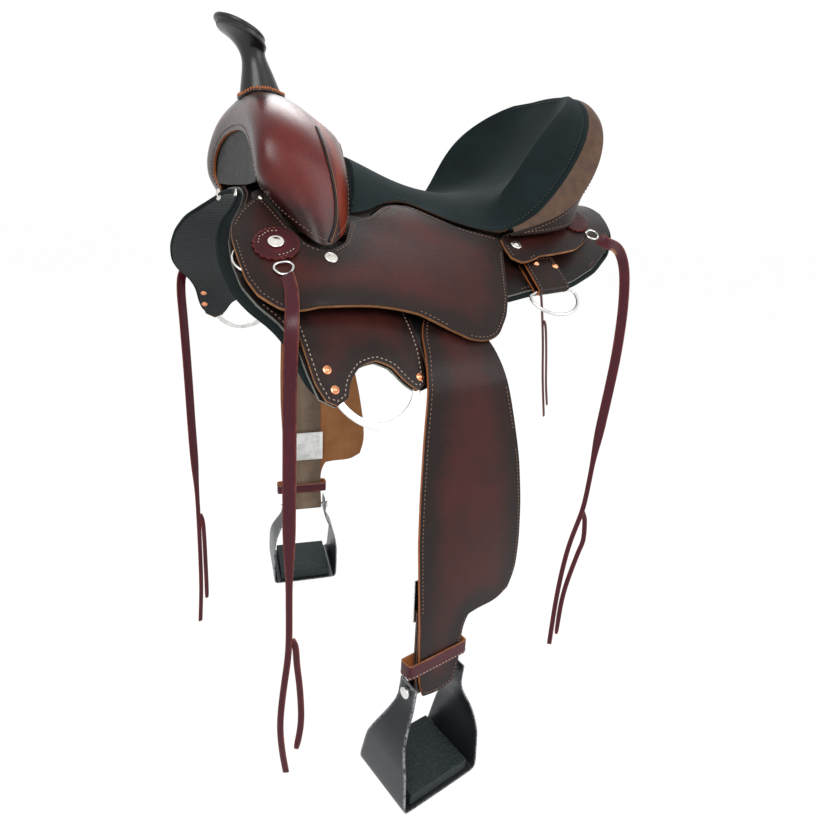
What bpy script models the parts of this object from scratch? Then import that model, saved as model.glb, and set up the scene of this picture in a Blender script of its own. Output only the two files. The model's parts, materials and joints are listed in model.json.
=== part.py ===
# Western trail saddle, built as an assembly of separate pieces.
# Metres, +Z up, the horse's head towards -Y, the near (left) side at +X.
# The origin is on the centre plane, at the top of the horse's back under the saddle.

import math

import bmesh
import bpy
import numpy as np
from mathutils import Matrix, Vector

# Overall sizes. The leather patterns below are drawn at the pattern sizes and graded to these.
SKIRT_LENGTH = 0.650
SIDE_SPREAD = 0.310
PATTERN_LENGTH = 0.650
PATTERN_SPREAD = 0.310
ROCKER_DEPTH = 0.020
ROCKER_MIDDLE = 0.040
ROCKER_REACH = 0.280

# Leather, padding and clearances
GAP = 0.0003
SKIRT_LEATHER = 0.0045
LINING_THICKNESS = 0.0100
LINING_EDGE = 0.0045
BAR_THICKNESS = 0.0177
BAR_EDGE = 0.0060
GROUND_SEAT_THICKNESS = 0.0030
JOCKEY_LEATHER = 0.0040
RIGGING_LEATHER = 0.0040
COVER_LEATHER = 0.0035
SEAT_PAD_THICKNESS = 0.0160
CANTLE_WOOD = 0.0082

# Metal fittings
RIGGING_RING_WIDTH = 0.0090
RIGGING_RING_THICKNESS = 0.0028
RING_CLEARANCE = 0.0007
REAR_RING_WIDTH = 0.0770
REAR_RING_WIRE = 0.0024
BREAST_DEE_WIRE = 0.0020
STRING_DEE_WIDTH = 0.0240
STRING_DEE_HEIGHT = 0.0180
STRING_DEE_WIRE = 0.0016
CONCHO_RADIUS = 0.0095
ROSETTE_RADIUS = 0.0270
REAR_ROSETTE_RADIUS = 0.0220
ROSETTE_THICKNESS = 0.0030
STRING_RADIUS = 0.0040

# Horn
HORN_CAP_RADIUS = 0.0330
HORN_CAP_TILT = math.radians(21.0)
HORN_CAP_THICKNESS = 0.0090
HORN_HEIGHT = 0.0753
HORN_BASE_HEIGHT = 0.151
HORN_CENTRE_Y = -0.1955

# Stirrup leathers and fenders
STRAP_WIDTH = 0.0720
STRAP_THICKNESS = 0.0035
FENDER_LEATHER = 0.0040
FENDER_GAP = 0.0008
BOLT_DROP = 0.5871
BOLT_X = 0.2868
BOLT_Y = -0.0465
HANG_SHIFT = 0.0090
BOLT_RADIUS = 0.0050
BOLT_HEAD_RADIUS = 0.0085
BOLT_HEAD_THICKNESS = 0.0050
BEND_RADIUS = 0.0700
HANG_YAW = math.radians(10.8)
HINGE_S = 0.1280
HINGE_HEIGHT = 0.0105
LEAF_LOW = (0.300, 0.0070)
RECESS_CLEARANCE = 0.0040
RECESS_REACH = 0.0500

# Stirrups
STIRRUP_WIDTH = 0.1354
STIRRUP_DEPTH = 0.1050
STIRRUP_HEIGHT = 0.1416
STIRRUP_TOP_WIDTH = 0.0880
STIRRUP_TOP_DEPTH = 0.0330
STIRRUP_PLATE = 0.0030
TREAD_PAD_WIDTH = 0.1050
TREAD_PAD_DEPTH = 0.0940
TREAD_PAD_THICKNESS = 0.0200

# Half section of the saddle's side, through the skirt leather's outer face
SECTION = (
    (0.000, 0.043), (0.040, 0.041), (0.091, 0.020), (0.125, -0.004), (0.159, -0.030), (0.195, -0.059),
    (0.232, -0.091), (0.264, -0.126), (0.287, -0.164), (0.310, -0.204), (0.334, -0.245),
)
SECTION_STEPS = 2
LENGTH_LINES = tuple(round(-0.330 + 0.060 * step, 4) for step in range(13))

NEAR = 1
OFF = -1
SIDES = (("near", NEAR), ("off", OFF))

LEATHER_BROWN = ("saddle_leather", (0.070, 0.022, 0.018), 0.42, 0.0)
LEATHER_OXBLOOD = ("swell_leather", (0.150, 0.026, 0.022), 0.32, 0.0)
LEATHER_BLACK = ("black_leather", (0.012, 0.014, 0.015), 0.45, 0.0)
LEATHER_TAN = ("strap_leather", (0.330, 0.210, 0.130), 0.60, 0.0)
LEATHER_BURGUNDY = ("burgundy_leather", (0.210, 0.012, 0.035), 0.38, 0.0)
SEAT_SUEDE = ("seat_suede", (0.010, 0.022, 0.024), 0.80, 0.0)
LINING_FELT = ("lining", (0.008, 0.014, 0.015), 0.70, 0.0)
TREE_WOOD = ("tree_wood", (0.020, 0.015, 0.012), 0.60, 0.0)
STRAINER_STEEL = ("strainer_steel", (0.450, 0.450, 0.450), 0.40, 1.0)
STAINLESS = ("stainless", (0.750, 0.760, 0.740), 0.18, 1.0)
NICKEL = ("nickel", (0.780, 0.770, 0.720), 0.20, 1.0)
STIRRUP_DARK = ("stirrup_metal", (0.050, 0.050, 0.055), 0.30, 1.0)
TREAD_RUBBER = ("tread_rubber", (0.010, 0.018, 0.020), 0.85, 0.0)


def clear_scene():
    """Start from an empty scene."""
    for item in list(bpy.data.objects):
        bpy.data.objects.remove(item, do_unlink=True)


def material(recipe):
    """Principled material from a (name, colour, roughness, metallic) recipe, made once."""
    name, colour, roughness, metallic = recipe
    if name in bpy.data.materials:
        return bpy.data.materials[name]
    made = bpy.data.materials.new(name)
    made.use_nodes = True
    shader = made.node_tree.nodes["Principled BSDF"]
    shader.inputs["Base Color"].default_value = (*colour, 1.0)
    shader.inputs["Roughness"].default_value = roughness
    shader.inputs["Metallic"].default_value = metallic
    return made


def publish(name, bm, recipe, crease=40.0):
    """Turn a bmesh into a named object with outward faces, smooth where it is round."""
    bmesh.ops.recalc_face_normals(bm, faces=bm.faces[:])
    if bm.calc_volume(signed=True) < 0:
        bmesh.ops.reverse_faces(bm, faces=bm.faces[:])
    mesh = bpy.data.meshes.new(name)
    bm.to_mesh(mesh)
    bm.free()
    mesh.shade_smooth()
    mesh.set_sharp_from_angle(angle=math.radians(crease))
    item = bpy.data.objects.new(name, mesh)
    item.data.materials.append(material(recipe))
    bpy.context.scene.collection.objects.link(item)
    return item


def set_origin(item, point):
    """Move an object's origin to a world point, such as its joint's axis."""
    item.data.transform(Matrix.Translation(-Vector(point)))
    item.location = point


# Curves and outlines

def spline(points, steps, closed=False):
    """Catmull-Rom curve through points, with the given steps to each span."""
    known = [np.array(point, float) for point in points]
    count = len(known)
    spans = count if closed else count - 1
    out = []
    for span in range(spans):
        if closed:
            before, start, end, after = (known[(span + shift) % count] for shift in (-1, 0, 1, 2))
        else:
            start, end = known[span], known[span + 1]
            before = known[span - 1] if span else 2 * start - end
            after = known[span + 2] if span + 2 < count else 2 * end - start
        for step in range(steps):
            t = step / steps
            curve = 2 * start + (end - before) * t
            curve = curve + (2 * before - 5 * start + 4 * end - after) * t ** 2
            curve = curve + (3 * start - before - 3 * end + after) * t ** 3
            out.append(curve / 2)
    if not closed:
        out.append(known[-1])
    return out


def smooth_outline(points, steps=2):
    """Closed outline through points; a point written with a third value is a sharp corner."""
    corners = [index for index, point in enumerate(points) if len(point) == 3]
    flat = [point[:2] for point in points]
    if not corners:
        return spline(flat, steps, closed=True)
    out = []
    for place, corner in enumerate(corners):
        following = corners[(place + 1) % len(corners)]
        run = [flat[corner]]
        index = corner
        while True:
            index = (index + 1) % len(flat)
            run.append(flat[index])
            if index == following:
                break
        out.extend(spline(run, steps)[:-1])
    return out


def smoothstep(value, low, high):
    """Ease from 0 at low to 1 at high."""
    t = min(1.0, max(0.0, (value - low) / (high - low)))
    return t * t * (3 - 2 * t)


def rounded_path(points, radius, steps=4):
    """Polyline with each inner corner turned into an arc of about the given radius."""
    known = [np.array(point, float) for point in points]
    out = [known[0]]
    for before, corner, after in zip(known, known[1:], known[2:]):
        inward = before - corner
        outward = after - corner
        reach = min(radius, 0.45 * np.linalg.norm(inward), 0.45 * np.linalg.norm(outward))
        start = corner + inward / np.linalg.norm(inward) * reach
        end = corner + outward / np.linalg.norm(outward) * reach
        for step in range(steps + 1):
            t = step / steps
            out.append((1 - t) ** 2 * start + 2 * t * (1 - t) * corner + t ** 2 * end)
    out.append(known[-1])
    return out


# The saddle's side: every leather layer lies at a height over the skirt's outer face

GRADE_Y = SKIRT_LENGTH / PATTERN_LENGTH
GRADE_X = SIDE_SPREAD / PATTERN_SPREAD


def section_table():
    """Arc lengths, points and outward normals along the half section."""
    drawn = spline(SECTION, SECTION_STEPS)
    lengths = [0.0]
    for start, end in zip(drawn, drawn[1:]):
        lengths.append(lengths[-1] + float(np.linalg.norm(end - start)))
    graded = [np.array((point[0] * GRADE_X, point[1])) for point in drawn]
    normals = []
    for index in range(len(graded)):
        low = graded[max(0, index - 1)]
        high = graded[min(len(graded) - 1, index + 1)]
        tangent = (high - low) / np.linalg.norm(high - low)
        normals.append(np.array((-tangent[1], tangent[0])))
    normals[0] = np.array((0.0, 1.0))
    return lengths, graded, normals


ARC, ARC_POINTS, ARC_NORMALS = section_table()


def rocker(y):
    """How far the underside dips at a length y, straight between the length lines."""
    def dip(at):
        t = (at - ROCKER_MIDDLE) / ROCKER_REACH
        return -ROCKER_DEPTH * (0.5 + 0.5 * math.cos(math.pi * t)) if abs(t) < 1 else 0.0
    return float(np.interp(y, LENGTH_LINES, [dip(line) for line in LENGTH_LINES]))


def side_point(y, s, h):
    """World point at length y, arc length s from the centre and height h over the skirt."""
    arc = abs(s)
    span = min(max(np.searchsorted(ARC, arc) - 1, 0), len(ARC) - 2)
    t = (arc - ARC[span]) / (ARC[span + 1] - ARC[span])
    start = ARC_POINTS[span] + h * ARC_NORMALS[span]
    end = ARC_POINTS[span + 1] + h * ARC_NORMALS[span + 1]
    x, z = start + (end - start) * t
    return Vector((math.copysign(x, s) if s else x, y * GRADE_Y, z + rocker(y)))


def side_height(point):
    """Height of a world point over the skirt's outer face."""
    y = point[1] / GRADE_Y
    flat = np.array((abs(point[0]), point[2] - rocker(y)))
    best = None
    for span in range(len(ARC) - 1):
        start, end = ARC_POINTS[span], ARC_POINTS[span + 1]
        along = end - start
        t = min(1.0, max(0.0, float(np.dot(flat - start, along) / np.dot(along, along))))
        normal = np.array((-along[1], along[0])) / np.linalg.norm(along)
        foot = start + along * t
        distance = float(np.linalg.norm(flat - foot))
        if best is None or distance < best[0]:
            best = (distance, float(np.dot(flat - foot, normal)))
    return best[1]


def arc_lines():
    return tuple(ARC[1:-1])


def patch(name, outline, lines, place, recipe, crease=40.0):
    """Closed slab: an outline cut along lines in both directions, then placed by a function.

    place(a, b, w) gives the world point, with w 0 on the inner face and 1 on the outer face.
    """
    bm = bmesh.new()
    bm.faces.new([bm.verts.new((float(a), float(b), 0.0)) for a, b in outline])
    for axis, values in enumerate(lines):
        low = min(point[axis] for point in outline)
        high = max(point[axis] for point in outline)
        for value in values:
            if low + 0.0004 < value < high - 0.0004:
                where = [0.0, 0.0, 0.0]
                normal = [0.0, 0.0, 0.0]
                where[axis] = value
                normal[axis] = 1.0
                everything = bm.verts[:] + bm.edges[:] + bm.faces[:]
                bmesh.ops.bisect_plane(bm, geom=everything, plane_co=where, plane_no=normal, dist=1e-5)
    bmesh.ops.triangulate(bm, faces=bm.faces[:])
    grown = bmesh.ops.extrude_face_region(bm, geom=bm.faces[:])
    for vertex in grown["geom"]:
        if isinstance(vertex, bmesh.types.BMVert):
            vertex.co.z = 1.0
    for vertex in bm.verts:
        vertex.co = place(vertex.co.x, vertex.co.y, vertex.co.z)
    return publish(name, bm, recipe, crease)


def side_sheet(name, outline, inner, outer, side, recipe, arcs=None):
    """Leather cut to an outline of (y, s) points, lying between two heights on one side."""
    def place(y, s, w):
        low = inner(y, s) if callable(inner) else inner
        high = outer(y, s) if callable(outer) else outer
        point = side_point(y, s, low + (high - low) * w)
        point.x *= side
        return point
    return patch(name, outline, (LENGTH_LINES, arcs or arc_lines()), place, recipe)


def grid_slab(name, along, across, place, recipe, closed=False, crease=40.0):
    """Closed slab on a grid: place(u, v, w), u and v from 0 to 1, w 0 inside and 1 outside."""
    bm = bmesh.new()
    bmesh.ops.create_grid(bm, x_segments=along, y_segments=across, size=0.5)
    grown = bmesh.ops.extrude_face_region(bm, geom=bm.faces[:])
    for vertex in grown["geom"]:
        if isinstance(vertex, bmesh.types.BMVert):
            vertex.co.z = 1.0
    if closed:
        seam = [face for face in bm.faces if all(abs(abs(v.co.x) - 0.5) < 1e-6 for v in face.verts)]
        bmesh.ops.delete(bm, geom=seam, context="FACES_ONLY")
    for vertex in bm.verts:
        vertex.co = place(vertex.co.x + 0.5, vertex.co.y + 0.5, vertex.co.z)
    if closed:
        bmesh.ops.remove_doubles(bm, verts=bm.verts[:], dist=1e-6)
    return publish(name, bm, recipe, crease)


def path_slab(name, path, thickness, across, place, recipe, closed=False, crease=40.0):
    """Strap whose side view is a path of (a, h) points with a thickness to the path's left.

    place(v, a, h) gives the world point, with v from -0.5 to 0.5 across the strap.
    """
    points = [np.array(point, float) for point in path]
    count = len(points)
    normals = []
    for index in range(count):
        if closed:
            before, after = points[index - 1], points[(index + 1) % count]
        else:
            before, after = points[max(0, index - 1)], points[min(count - 1, index + 1)]
        tangent = (after - before) / np.linalg.norm(after - before)
        normals.append(np.array((-tangent[1], tangent[0])))
    steps = count if closed else count - 1

    def spot(u, v, w):
        index = round(u * steps) % count if closed else round(u * steps)
        a, h = points[index] + normals[index] * thickness * w
        return place(v - 0.5, a, h)
    return grid_slab(name, steps, across, spot, recipe, closed, crease)


def wire(name, points, radius, recipe, cyclic=False, resolution=2):
    """Round wire or cord along points, as a curve with a bevel."""
    data = bpy.data.curves.new(name, "CURVE")
    data.dimensions = "3D"
    data.bevel_depth = radius
    data.bevel_resolution = resolution
    data.use_fill_caps = not cyclic
    run = data.splines.new("POLY")
    run.points.add(len(points) - 1)
    for slot, point in zip(run.points, points):
        slot.co = (*point, 1.0)
    run.use_cyclic_u = cyclic
    data.materials.append(material(recipe))
    item = bpy.data.objects.new(name, data)
    bpy.context.scene.collection.objects.link(item)
    return item


def lathe_mesh(profile, segments):
    """Turned shape about Z from (radius, height) points that start and end on the axis."""
    bm = bmesh.new()
    chain = [bm.verts.new((radius, 0.0, height)) for radius, height in profile]
    edges = [bm.edges.new(pair) for pair in zip(chain, chain[1:])]
    bmesh.ops.spin(
        bm, geom=chain + edges, cent=(0, 0, 0), axis=(0, 0, 1), angle=2 * math.pi,
        steps=segments, use_merge=True,
    )
    bmesh.ops.remove_doubles(bm, verts=bm.verts[:], dist=1e-6)
    return bm


def turned(name, profile, matrix, recipe, segments=16):
    """Turned piece placed by a matrix that carries +Z to its axis."""
    bm = lathe_mesh(profile, segments)
    bmesh.ops.transform(bm, matrix=matrix, verts=bm.verts[:])
    return publish(name, bm, recipe)


def axes_matrix(origin, x_axis, y_axis, z_axis):
    """Placement with the given origin and axes."""
    columns = Matrix((x_axis, y_axis, z_axis)).transposed().to_4x4()
    return Matrix.Translation(origin) @ columns


def surface_frame(y, s, face, lift, side):
    """Placement lifted off a leather face: +X forward, +Y down the side, +Z outwards."""
    step = 0.006

    def on_face(at_y, at_s):
        return side_point(at_y, at_s, face(at_y, at_s) + lift)
    centre = on_face(y, s)
    forward = (on_face(y - step, s) - on_face(y + step, s)).normalized()
    down = (on_face(y, s + step) - on_face(y, s - step)).normalized()
    outwards = forward.cross(down).normalized()
    down = outwards.cross(forward).normalized()
    mirror = Matrix.Diagonal((side, 1, 1, 1))
    return mirror @ axes_matrix(centre, forward, down, outwards)


def cut(item, cutter):
    """Subtract a guide from a piece with a live Boolean."""
    change = item.modifiers.new("cut", "BOOLEAN")
    change.operation = "DIFFERENCE"
    change.solver = "EXACT"
    change.object = cutter


def guide(item):
    """Mark an object as a cutter that is not part of the saddle."""
    item.hide_render = True
    item.display_type = "WIRE"
    return item


# Heights of the layers over the skirt's outer face

BAR_TOP = GAP + BAR_THICKNESS
GROUND_LOW = BAR_TOP + GAP
GROUND_HIGH = GROUND_LOW + GROUND_SEAT_THICKNESS
JOCKEY_FRONT = 0.0065
JOCKEY_LOW = BAR_TOP + 0.0010
JOCKEY_HIGH = JOCKEY_LOW + JOCKEY_LEATHER
SEAT_LOW = GROUND_HIGH + 0.0015
STRAP_ROOM = 0.0220


def ramp(value, low, high):
    """Straight run from 0 at low to 1 at high."""
    return min(1.0, max(0.0, (value - low) / (high - low)))


def jockey_inner(y, s):
    """Underside of the jockey: over the bars, lifted over the stirrup leather, low in front."""
    front = ramp(y, LENGTH_LINES[1], LENGTH_LINES[2])
    lift = ramp(y, LENGTH_LINES[3], LENGTH_LINES[4]) * ramp(abs(s), 0.160, 0.215)
    return JOCKEY_FRONT + (JOCKEY_LOW - JOCKEY_FRONT) * front + (STRAP_ROOM - JOCKEY_LOW) * lift


def jockey_outer(y, s):
    return jockey_inner(y, s) + JOCKEY_LEATHER


# Skirts, linings and rigging

SKIRT_OUTLINE = (
    (-0.232, 0.004, 1), (-0.239, 0.060), (-0.252, 0.096), (-0.268, 0.126), (-0.279, 0.160), (-0.283, 0.195),
    (-0.280, 0.232), (-0.268, 0.260), (-0.250, 0.284), (-0.238, 0.312), (-0.232, 0.346), (-0.224, 0.374),
    (-0.207, 0.384), (-0.193, 0.376), (-0.186, 0.354), (-0.171, 0.339), (-0.152, 0.334), (-0.134, 0.340),
    (-0.119, 0.359), (-0.104, 0.368), (-0.088, 0.362), (-0.078, 0.335), (-0.060, 0.300), (-0.010, 0.262),
    (0.050, 0.235), (0.120, 0.224), (0.192, 0.222), (0.250, 0.199), (0.298, 0.165), (0.331, 0.124),
    (0.352, 0.070), (0.358, 0.004, 1), (0.230, 0.004, 1), (0.190, 0.030), (-0.150, 0.030), (-0.200, 0.004, 1),
)
LINING_OUTLINE = (
    (-0.238, 0.003, 1), (-0.246, 0.060), (-0.262, 0.096), (-0.281, 0.124), (-0.291, 0.158), (-0.294, 0.195),
    (-0.289, 0.235), (-0.276, 0.262), (-0.256, 0.286), (-0.243, 0.313), (-0.236, 0.344), (-0.227, 0.365),
    (-0.207, 0.376), (-0.192, 0.367), (-0.185, 0.345), (-0.171, 0.331), (-0.152, 0.326), (-0.134, 0.332),
    (-0.120, 0.350), (-0.104, 0.360), (-0.086, 0.355), (-0.074, 0.331), (-0.056, 0.302), (-0.009, 0.265),
    (0.050, 0.238), (0.120, 0.227), (0.193, 0.225), (0.253, 0.202), (0.301, 0.168), (0.335, 0.126),
    (0.356, 0.070), (0.362, 0.003, 1), (0.230, 0.003, 1), (0.190, 0.034), (-0.150, 0.034), (-0.200, 0.003, 1),
)
RIGGING_OUTLINE = (
    (-0.236, 0.240, 1), (-0.237, 0.268), (-0.236, 0.293), (-0.232, 0.330), (-0.228, 0.358), (-0.219, 0.378),
    (-0.207, 0.384), (-0.194, 0.376), (-0.187, 0.355), (-0.171, 0.339), (-0.152, 0.334), (-0.134, 0.340),
    (-0.119, 0.359), (-0.105, 0.367), (-0.095, 0.360), (-0.092, 0.320), (-0.092, 0.240, 1),
)
RING_PATH = (
    (-0.204, 0.322), (-0.209, 0.345), (-0.204, 0.378), (-0.185, 0.399), (-0.161, 0.408), (-0.137, 0.402),
    (-0.116, 0.386), (-0.104, 0.362), (-0.106, 0.322),
)


def edge_distance(a, b, outline):
    """Distance from a pattern point to the nearest side of an outline."""
    here = np.array((a, b))
    best = 1.0
    for start, end in zip(outline, outline[1:] + outline[:1]):
        start, end = np.array(start), np.array(end)
        along = end - start
        t = min(1.0, max(0.0, float(np.dot(here - start, along) / np.dot(along, along))))
        best = min(best, float(np.linalg.norm(start + along * t - here)))
    return best


def make_skirts(tag, side):
    """Skirt leather with its padded lining under it."""
    skirt = smooth_outline(SKIRT_OUTLINE, 1)
    side_sheet(f"skirt_{tag}", skirt, -SKIRT_LEATHER, 0.0, side, LEATHER_BROWN)
    lining = [tuple(point) for point in smooth_outline(LINING_OUTLINE, 1)]
    top = -SKIRT_LEATHER - GAP

    def under(y, s):
        rise = smoothstep(edge_distance(y, s, lining), 0.0, 0.030)
        return top - LINING_EDGE - (LINING_THICKNESS - LINING_EDGE) * rise
    side_sheet(f"skirt_lining_{tag}", lining, under, top, side, LINING_FELT)


def rigging_lift(y, s):
    """The rigging leather is moulded over the ring from above the arch downwards."""
    return GAP + (RIGGING_RING_THICKNESS + 2 * RING_CLEARANCE) * ramp(s, 0.268, 0.297)


def make_rigging(tag, side):
    """Rigging leather and the flat ring riveted between it and the skirt."""
    outline = smooth_outline(RIGGING_OUTLINE, 1)
    side_sheet(
        f"rigging_plate_{tag}", outline, rigging_lift, lambda y, s: rigging_lift(y, s) + RIGGING_LEATHER,
        side, LEATHER_BROWN,
    )
    path = [np.array(point) for point in spline(RING_PATH, 2, closed=True)]
    count = len(path)

    def place(u, v, w):
        index = round(u * count) % count
        along = path[(index + 1) % count] - path[index - 1]
        across = np.array((along[1], -along[0])) / np.linalg.norm(along)
        y, s = path[index] + across * (v - 0.5) * RIGGING_RING_WIDTH
        point = side_point(y, s, RING_CLEARANCE + RIGGING_RING_THICKNESS * w)
        point.x *= side
        return point
    grid_slab(f"rigging_ring_{tag}", count, 1, place, STAINLESS, closed=True)


# Tree: bars, fork and cantle, and the ground seat over them

BAR_OUTLINE = (
    (-0.222, 0.058), (-0.229, 0.090), (-0.222, 0.124), (-0.190, 0.143), (-0.120, 0.142), (-0.040, 0.126),
    (0.060, 0.126), (0.160, 0.150), (0.240, 0.158), (0.282, 0.130), (0.284, 0.085), (0.250, 0.054),
    (0.120, 0.040), (0.000, 0.038), (-0.120, 0.042),
)


def make_bars(tag, side):
    """Tree bar, thinned towards its edges, with a round recess for the stirrup leather's end."""
    outline = [tuple(point) for point in smooth_outline(BAR_OUTLINE, 2)]

    def top(y, s):
        rise = smoothstep(edge_distance(y, s, outline), 0.0, 0.024)
        return GAP + BAR_EDGE + (BAR_THICKNESS - BAR_EDGE) * rise
    bar = side_sheet(f"tree_bar_{tag}", outline, GAP, top, side, TREE_WOOD)
    disc = bmesh.new()
    radius = STRAP_WIDTH / 2 + RECESS_CLEARANCE
    bmesh.ops.create_cone(disc, cap_ends=True, segments=32, radius1=radius, radius2=radius, depth=RECESS_REACH)
    hang = HANGS[side]
    middle = hang.top + hang.out * (RECESS_REACH / 2 - GAP)
    mirror = Matrix.Diagonal((side, 1, 1, 1))
    bmesh.ops.transform(
        disc, matrix=mirror @ axes_matrix(middle, hang.down, hang.out.cross(hang.down), hang.out),
        verts=disc.verts[:],
    )
    cut(bar, guide(publish(f"bar_recess_guide_{tag}", disc, TREE_WOOD)))


def make_ground_seat():
    """Strainer plate that spans both bars under the seat."""
    rows = (
        (-0.078, 0.080), (-0.050, 0.066), (-0.020, 0.062), (0.010, 0.080), (0.040, 0.098), (0.080, 0.110),
        (0.130, 0.110), (0.165, 0.098), (0.180, 0.070),
    )
    left = tuple((y, -s) for y, s in reversed(rows))

    def place(y, s, w):
        return side_point(y, s, GROUND_LOW + GROUND_SEAT_THICKNESS * w)
    arcs = tuple(sorted([-line for line in ARC[1:-1]] + [0.0] + list(ARC[1:-1])))
    patch("ground_seat", smooth_outline(rows + left, 1), (LENGTH_LINES, arcs), place, STRAINER_STEEL)


# Swell net: columns from the front edge to the rear, each from the top centre to the lower edge
SWELL_NET = (
    ((0.000, -0.234, 0.112), (0.035, -0.235, 0.110), (0.063, -0.236, 0.104), (0.087, -0.238, 0.092),
     (0.105, -0.239, 0.075), (0.110, -0.238, 0.055), (0.106, -0.230, 0.041)),
    ((0.000, -0.232, 0.140), (0.042, -0.234, 0.136), (0.084, -0.238, 0.124), (0.117, -0.241, 0.102),
     (0.134, -0.243, 0.078), (0.134, -0.240, 0.052), (0.120, -0.222, 0.028)),
    ((0.000, -0.210, 0.160), (0.050, -0.214, 0.154), (0.100, -0.222, 0.136), (0.135, -0.229, 0.108),
     (0.149, -0.232, 0.078), (0.150, -0.225, 0.042), (0.146, -0.207, 0.005)),
    ((0.000, -0.170, 0.157), (0.050, -0.176, 0.150), (0.104, -0.187, 0.130), (0.141, -0.194, 0.103),
     (0.155, -0.196, 0.071), (0.162, -0.192, 0.028), (0.173, -0.186, -0.016)),
    ((0.000, -0.132, 0.138), (0.050, -0.143, 0.132), (0.097, -0.155, 0.115), (0.136, -0.159, 0.089),
     (0.154, -0.158, 0.060), (0.163, -0.158, 0.021), (0.176, -0.165, -0.019)),
    ((0.000, -0.104, 0.119), (0.045, -0.114, 0.116), (0.087, -0.127, 0.104), (0.120, -0.133, 0.083),
     (0.138, -0.134, 0.058), (0.147, -0.135, 0.024), (0.154, -0.140, -0.004)),
    ((0.000, -0.091, 0.103), (0.042, -0.101, 0.100), (0.082, -0.115, 0.089), (0.112, -0.123, 0.069),
     (0.128, -0.126, 0.046), (0.134, -0.128, 0.021), (0.140, -0.132, 0.006)),
)


def net_surface(net):
    """Smooth surface through a net of (x, y, z) points; returns point(u, v), u along the columns."""
    table = np.array(net, float)

    def along(values, t):
        count = len(values)
        span = min(int(t * (count - 1)), count - 2)
        f = t * (count - 1) - span
        start, end = values[span], values[span + 1]
        before = values[span - 1] if span else 2 * start - end
        after = values[span + 2] if span + 2 < count else 2 * end - start
        curve = 2 * start + (end - before) * f + (2 * before - 5 * start + 4 * end - after) * f ** 2
        return (curve + (3 * start - before - 3 * end + after) * f ** 3) / 2

    def point(u, v):
        return along(np.array([along(column, v) for column in table]), u)
    return point


def graded(point):
    return np.array((point[0] * GRADE_X, point[1] * GRADE_Y, point[2]))


def whole_width(half):
    """Surface over both sides: across runs from the near edge at 0 to the off edge at 1."""
    def point(u, across):
        v = abs(1 - 2 * across)
        x, y, z = graded(half(u, v))
        return np.array((x if across < 0.5 else -x, y, z))
    return point


def offset(surface, u, v, depth):
    """Point below a surface by a depth along its normal."""
    step = 0.004
    low_u, high_u = max(0.0, u - step), min(1.0, u + step)
    low_v, high_v = max(0.0, v - step), min(1.0, v + step)
    along = surface(high_u, v) - surface(low_u, v)
    across = surface(u, high_v) - surface(u, low_v)
    normal = np.cross(along, across)
    normal = normal / np.linalg.norm(normal)
    return surface(u, v) - normal * depth


SWELL = whole_width(net_surface(SWELL_NET))
FORK_FRONT = 0.24
FORK_REAR = 0.86
FORK_SET_BACK = 0.20
FORK_SIDE = 0.17
FORK_FOOT_Y = -0.175
FORK_TAPER_X = 0.90
FORK_TAPER_Y = 0.50
FORK_SEAT = 0.0009
FORK_THINNEST = 0.0040
FORK_ROOM = 0.0030


def over_the_bars(point, height):
    """Lift a point straight up until it is at least a height over the skirt's outer face."""
    lifted = np.array(point, float)
    for _ in range(12):
        short = height - side_height(lifted)
        if short <= 0:
            break
        lifted[2] += short + 0.0001
    return lifted


def make_swell():
    """Leather cover of the swell, over the wooden fork."""
    def cover(u, v, w):
        point = offset(SWELL, u, v, COVER_LEATHER * (1 - w))
        return Vector(over_the_bars(point, JOCKEY_HIGH - 0.0030 if w else BAR_TOP + GAP))
    swell = grid_slab("swell_cover", 12, 20, cover, LEATHER_OXBLOOD, crease=60)

    def wood(u, v, w):
        front = FORK_FRONT + FORK_SET_BACK * (1 - 2 * v) ** 2
        u_in = front + (FORK_REAR - front) * u
        v_in = FORK_SIDE + (1 - 2 * FORK_SIDE) * v
        outer = offset(SWELL, u_in, v_in, COVER_LEATHER + FORK_ROOM)
        if w:
            return Vector(outer)
        foot_y = outer[1] + (FORK_FOOT_Y - outer[1]) * FORK_TAPER_Y
        floor = over_the_bars((outer[0] * FORK_TAPER_X, foot_y, 0.0), BAR_TOP + FORK_SEAT)
        floor[2] = min(floor[2], outer[2] - FORK_THINNEST)
        return Vector(floor)
    fork = grid_slab("tree_fork", 7, 14, wood, TREE_WOOD)
    return swell, fork


# Gullet panel, drawn in (x, z) on the recessed front of the fork
GULLET_OUTLINE = (
    (0.000, 0.1145), (0.034, 0.1125), (0.062, 0.1063), (0.086, 0.0940), (0.103, 0.0755), (0.106, 0.058),
    (0.099, 0.048), (0.050, 0.0455),
)
GULLET_LEATHER = 0.0030
GULLET_BACK = COVER_LEATHER + 0.0006


def make_gullet_panel():
    """Dark leather over the front of the fork, behind the lower edge of the swell cover."""
    half = list(GULLET_OUTLINE)
    outline = half + [(0.0, half[-1][1])] + [(-x, z) for x, z in reversed(half[1:])]
    edge = SWELL_NET[0][:5]

    def place(x, z, w):
        front = float(np.interp(abs(x), [spot[0] for spot in edge], [spot[1] for spot in edge]))
        y = front * GRADE_Y + GULLET_BACK + GULLET_LEATHER * (1 - w)
        return Vector((x * GRADE_X, y, z))
    columns = [spot[0] for spot in edge[1:]]
    columns = tuple(sorted([-x for x in columns] + [0.0] + columns))
    patch("gullet_panel", outline, (columns, (0.075,)), place, LEATHER_BROWN)


# Horn

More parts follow.
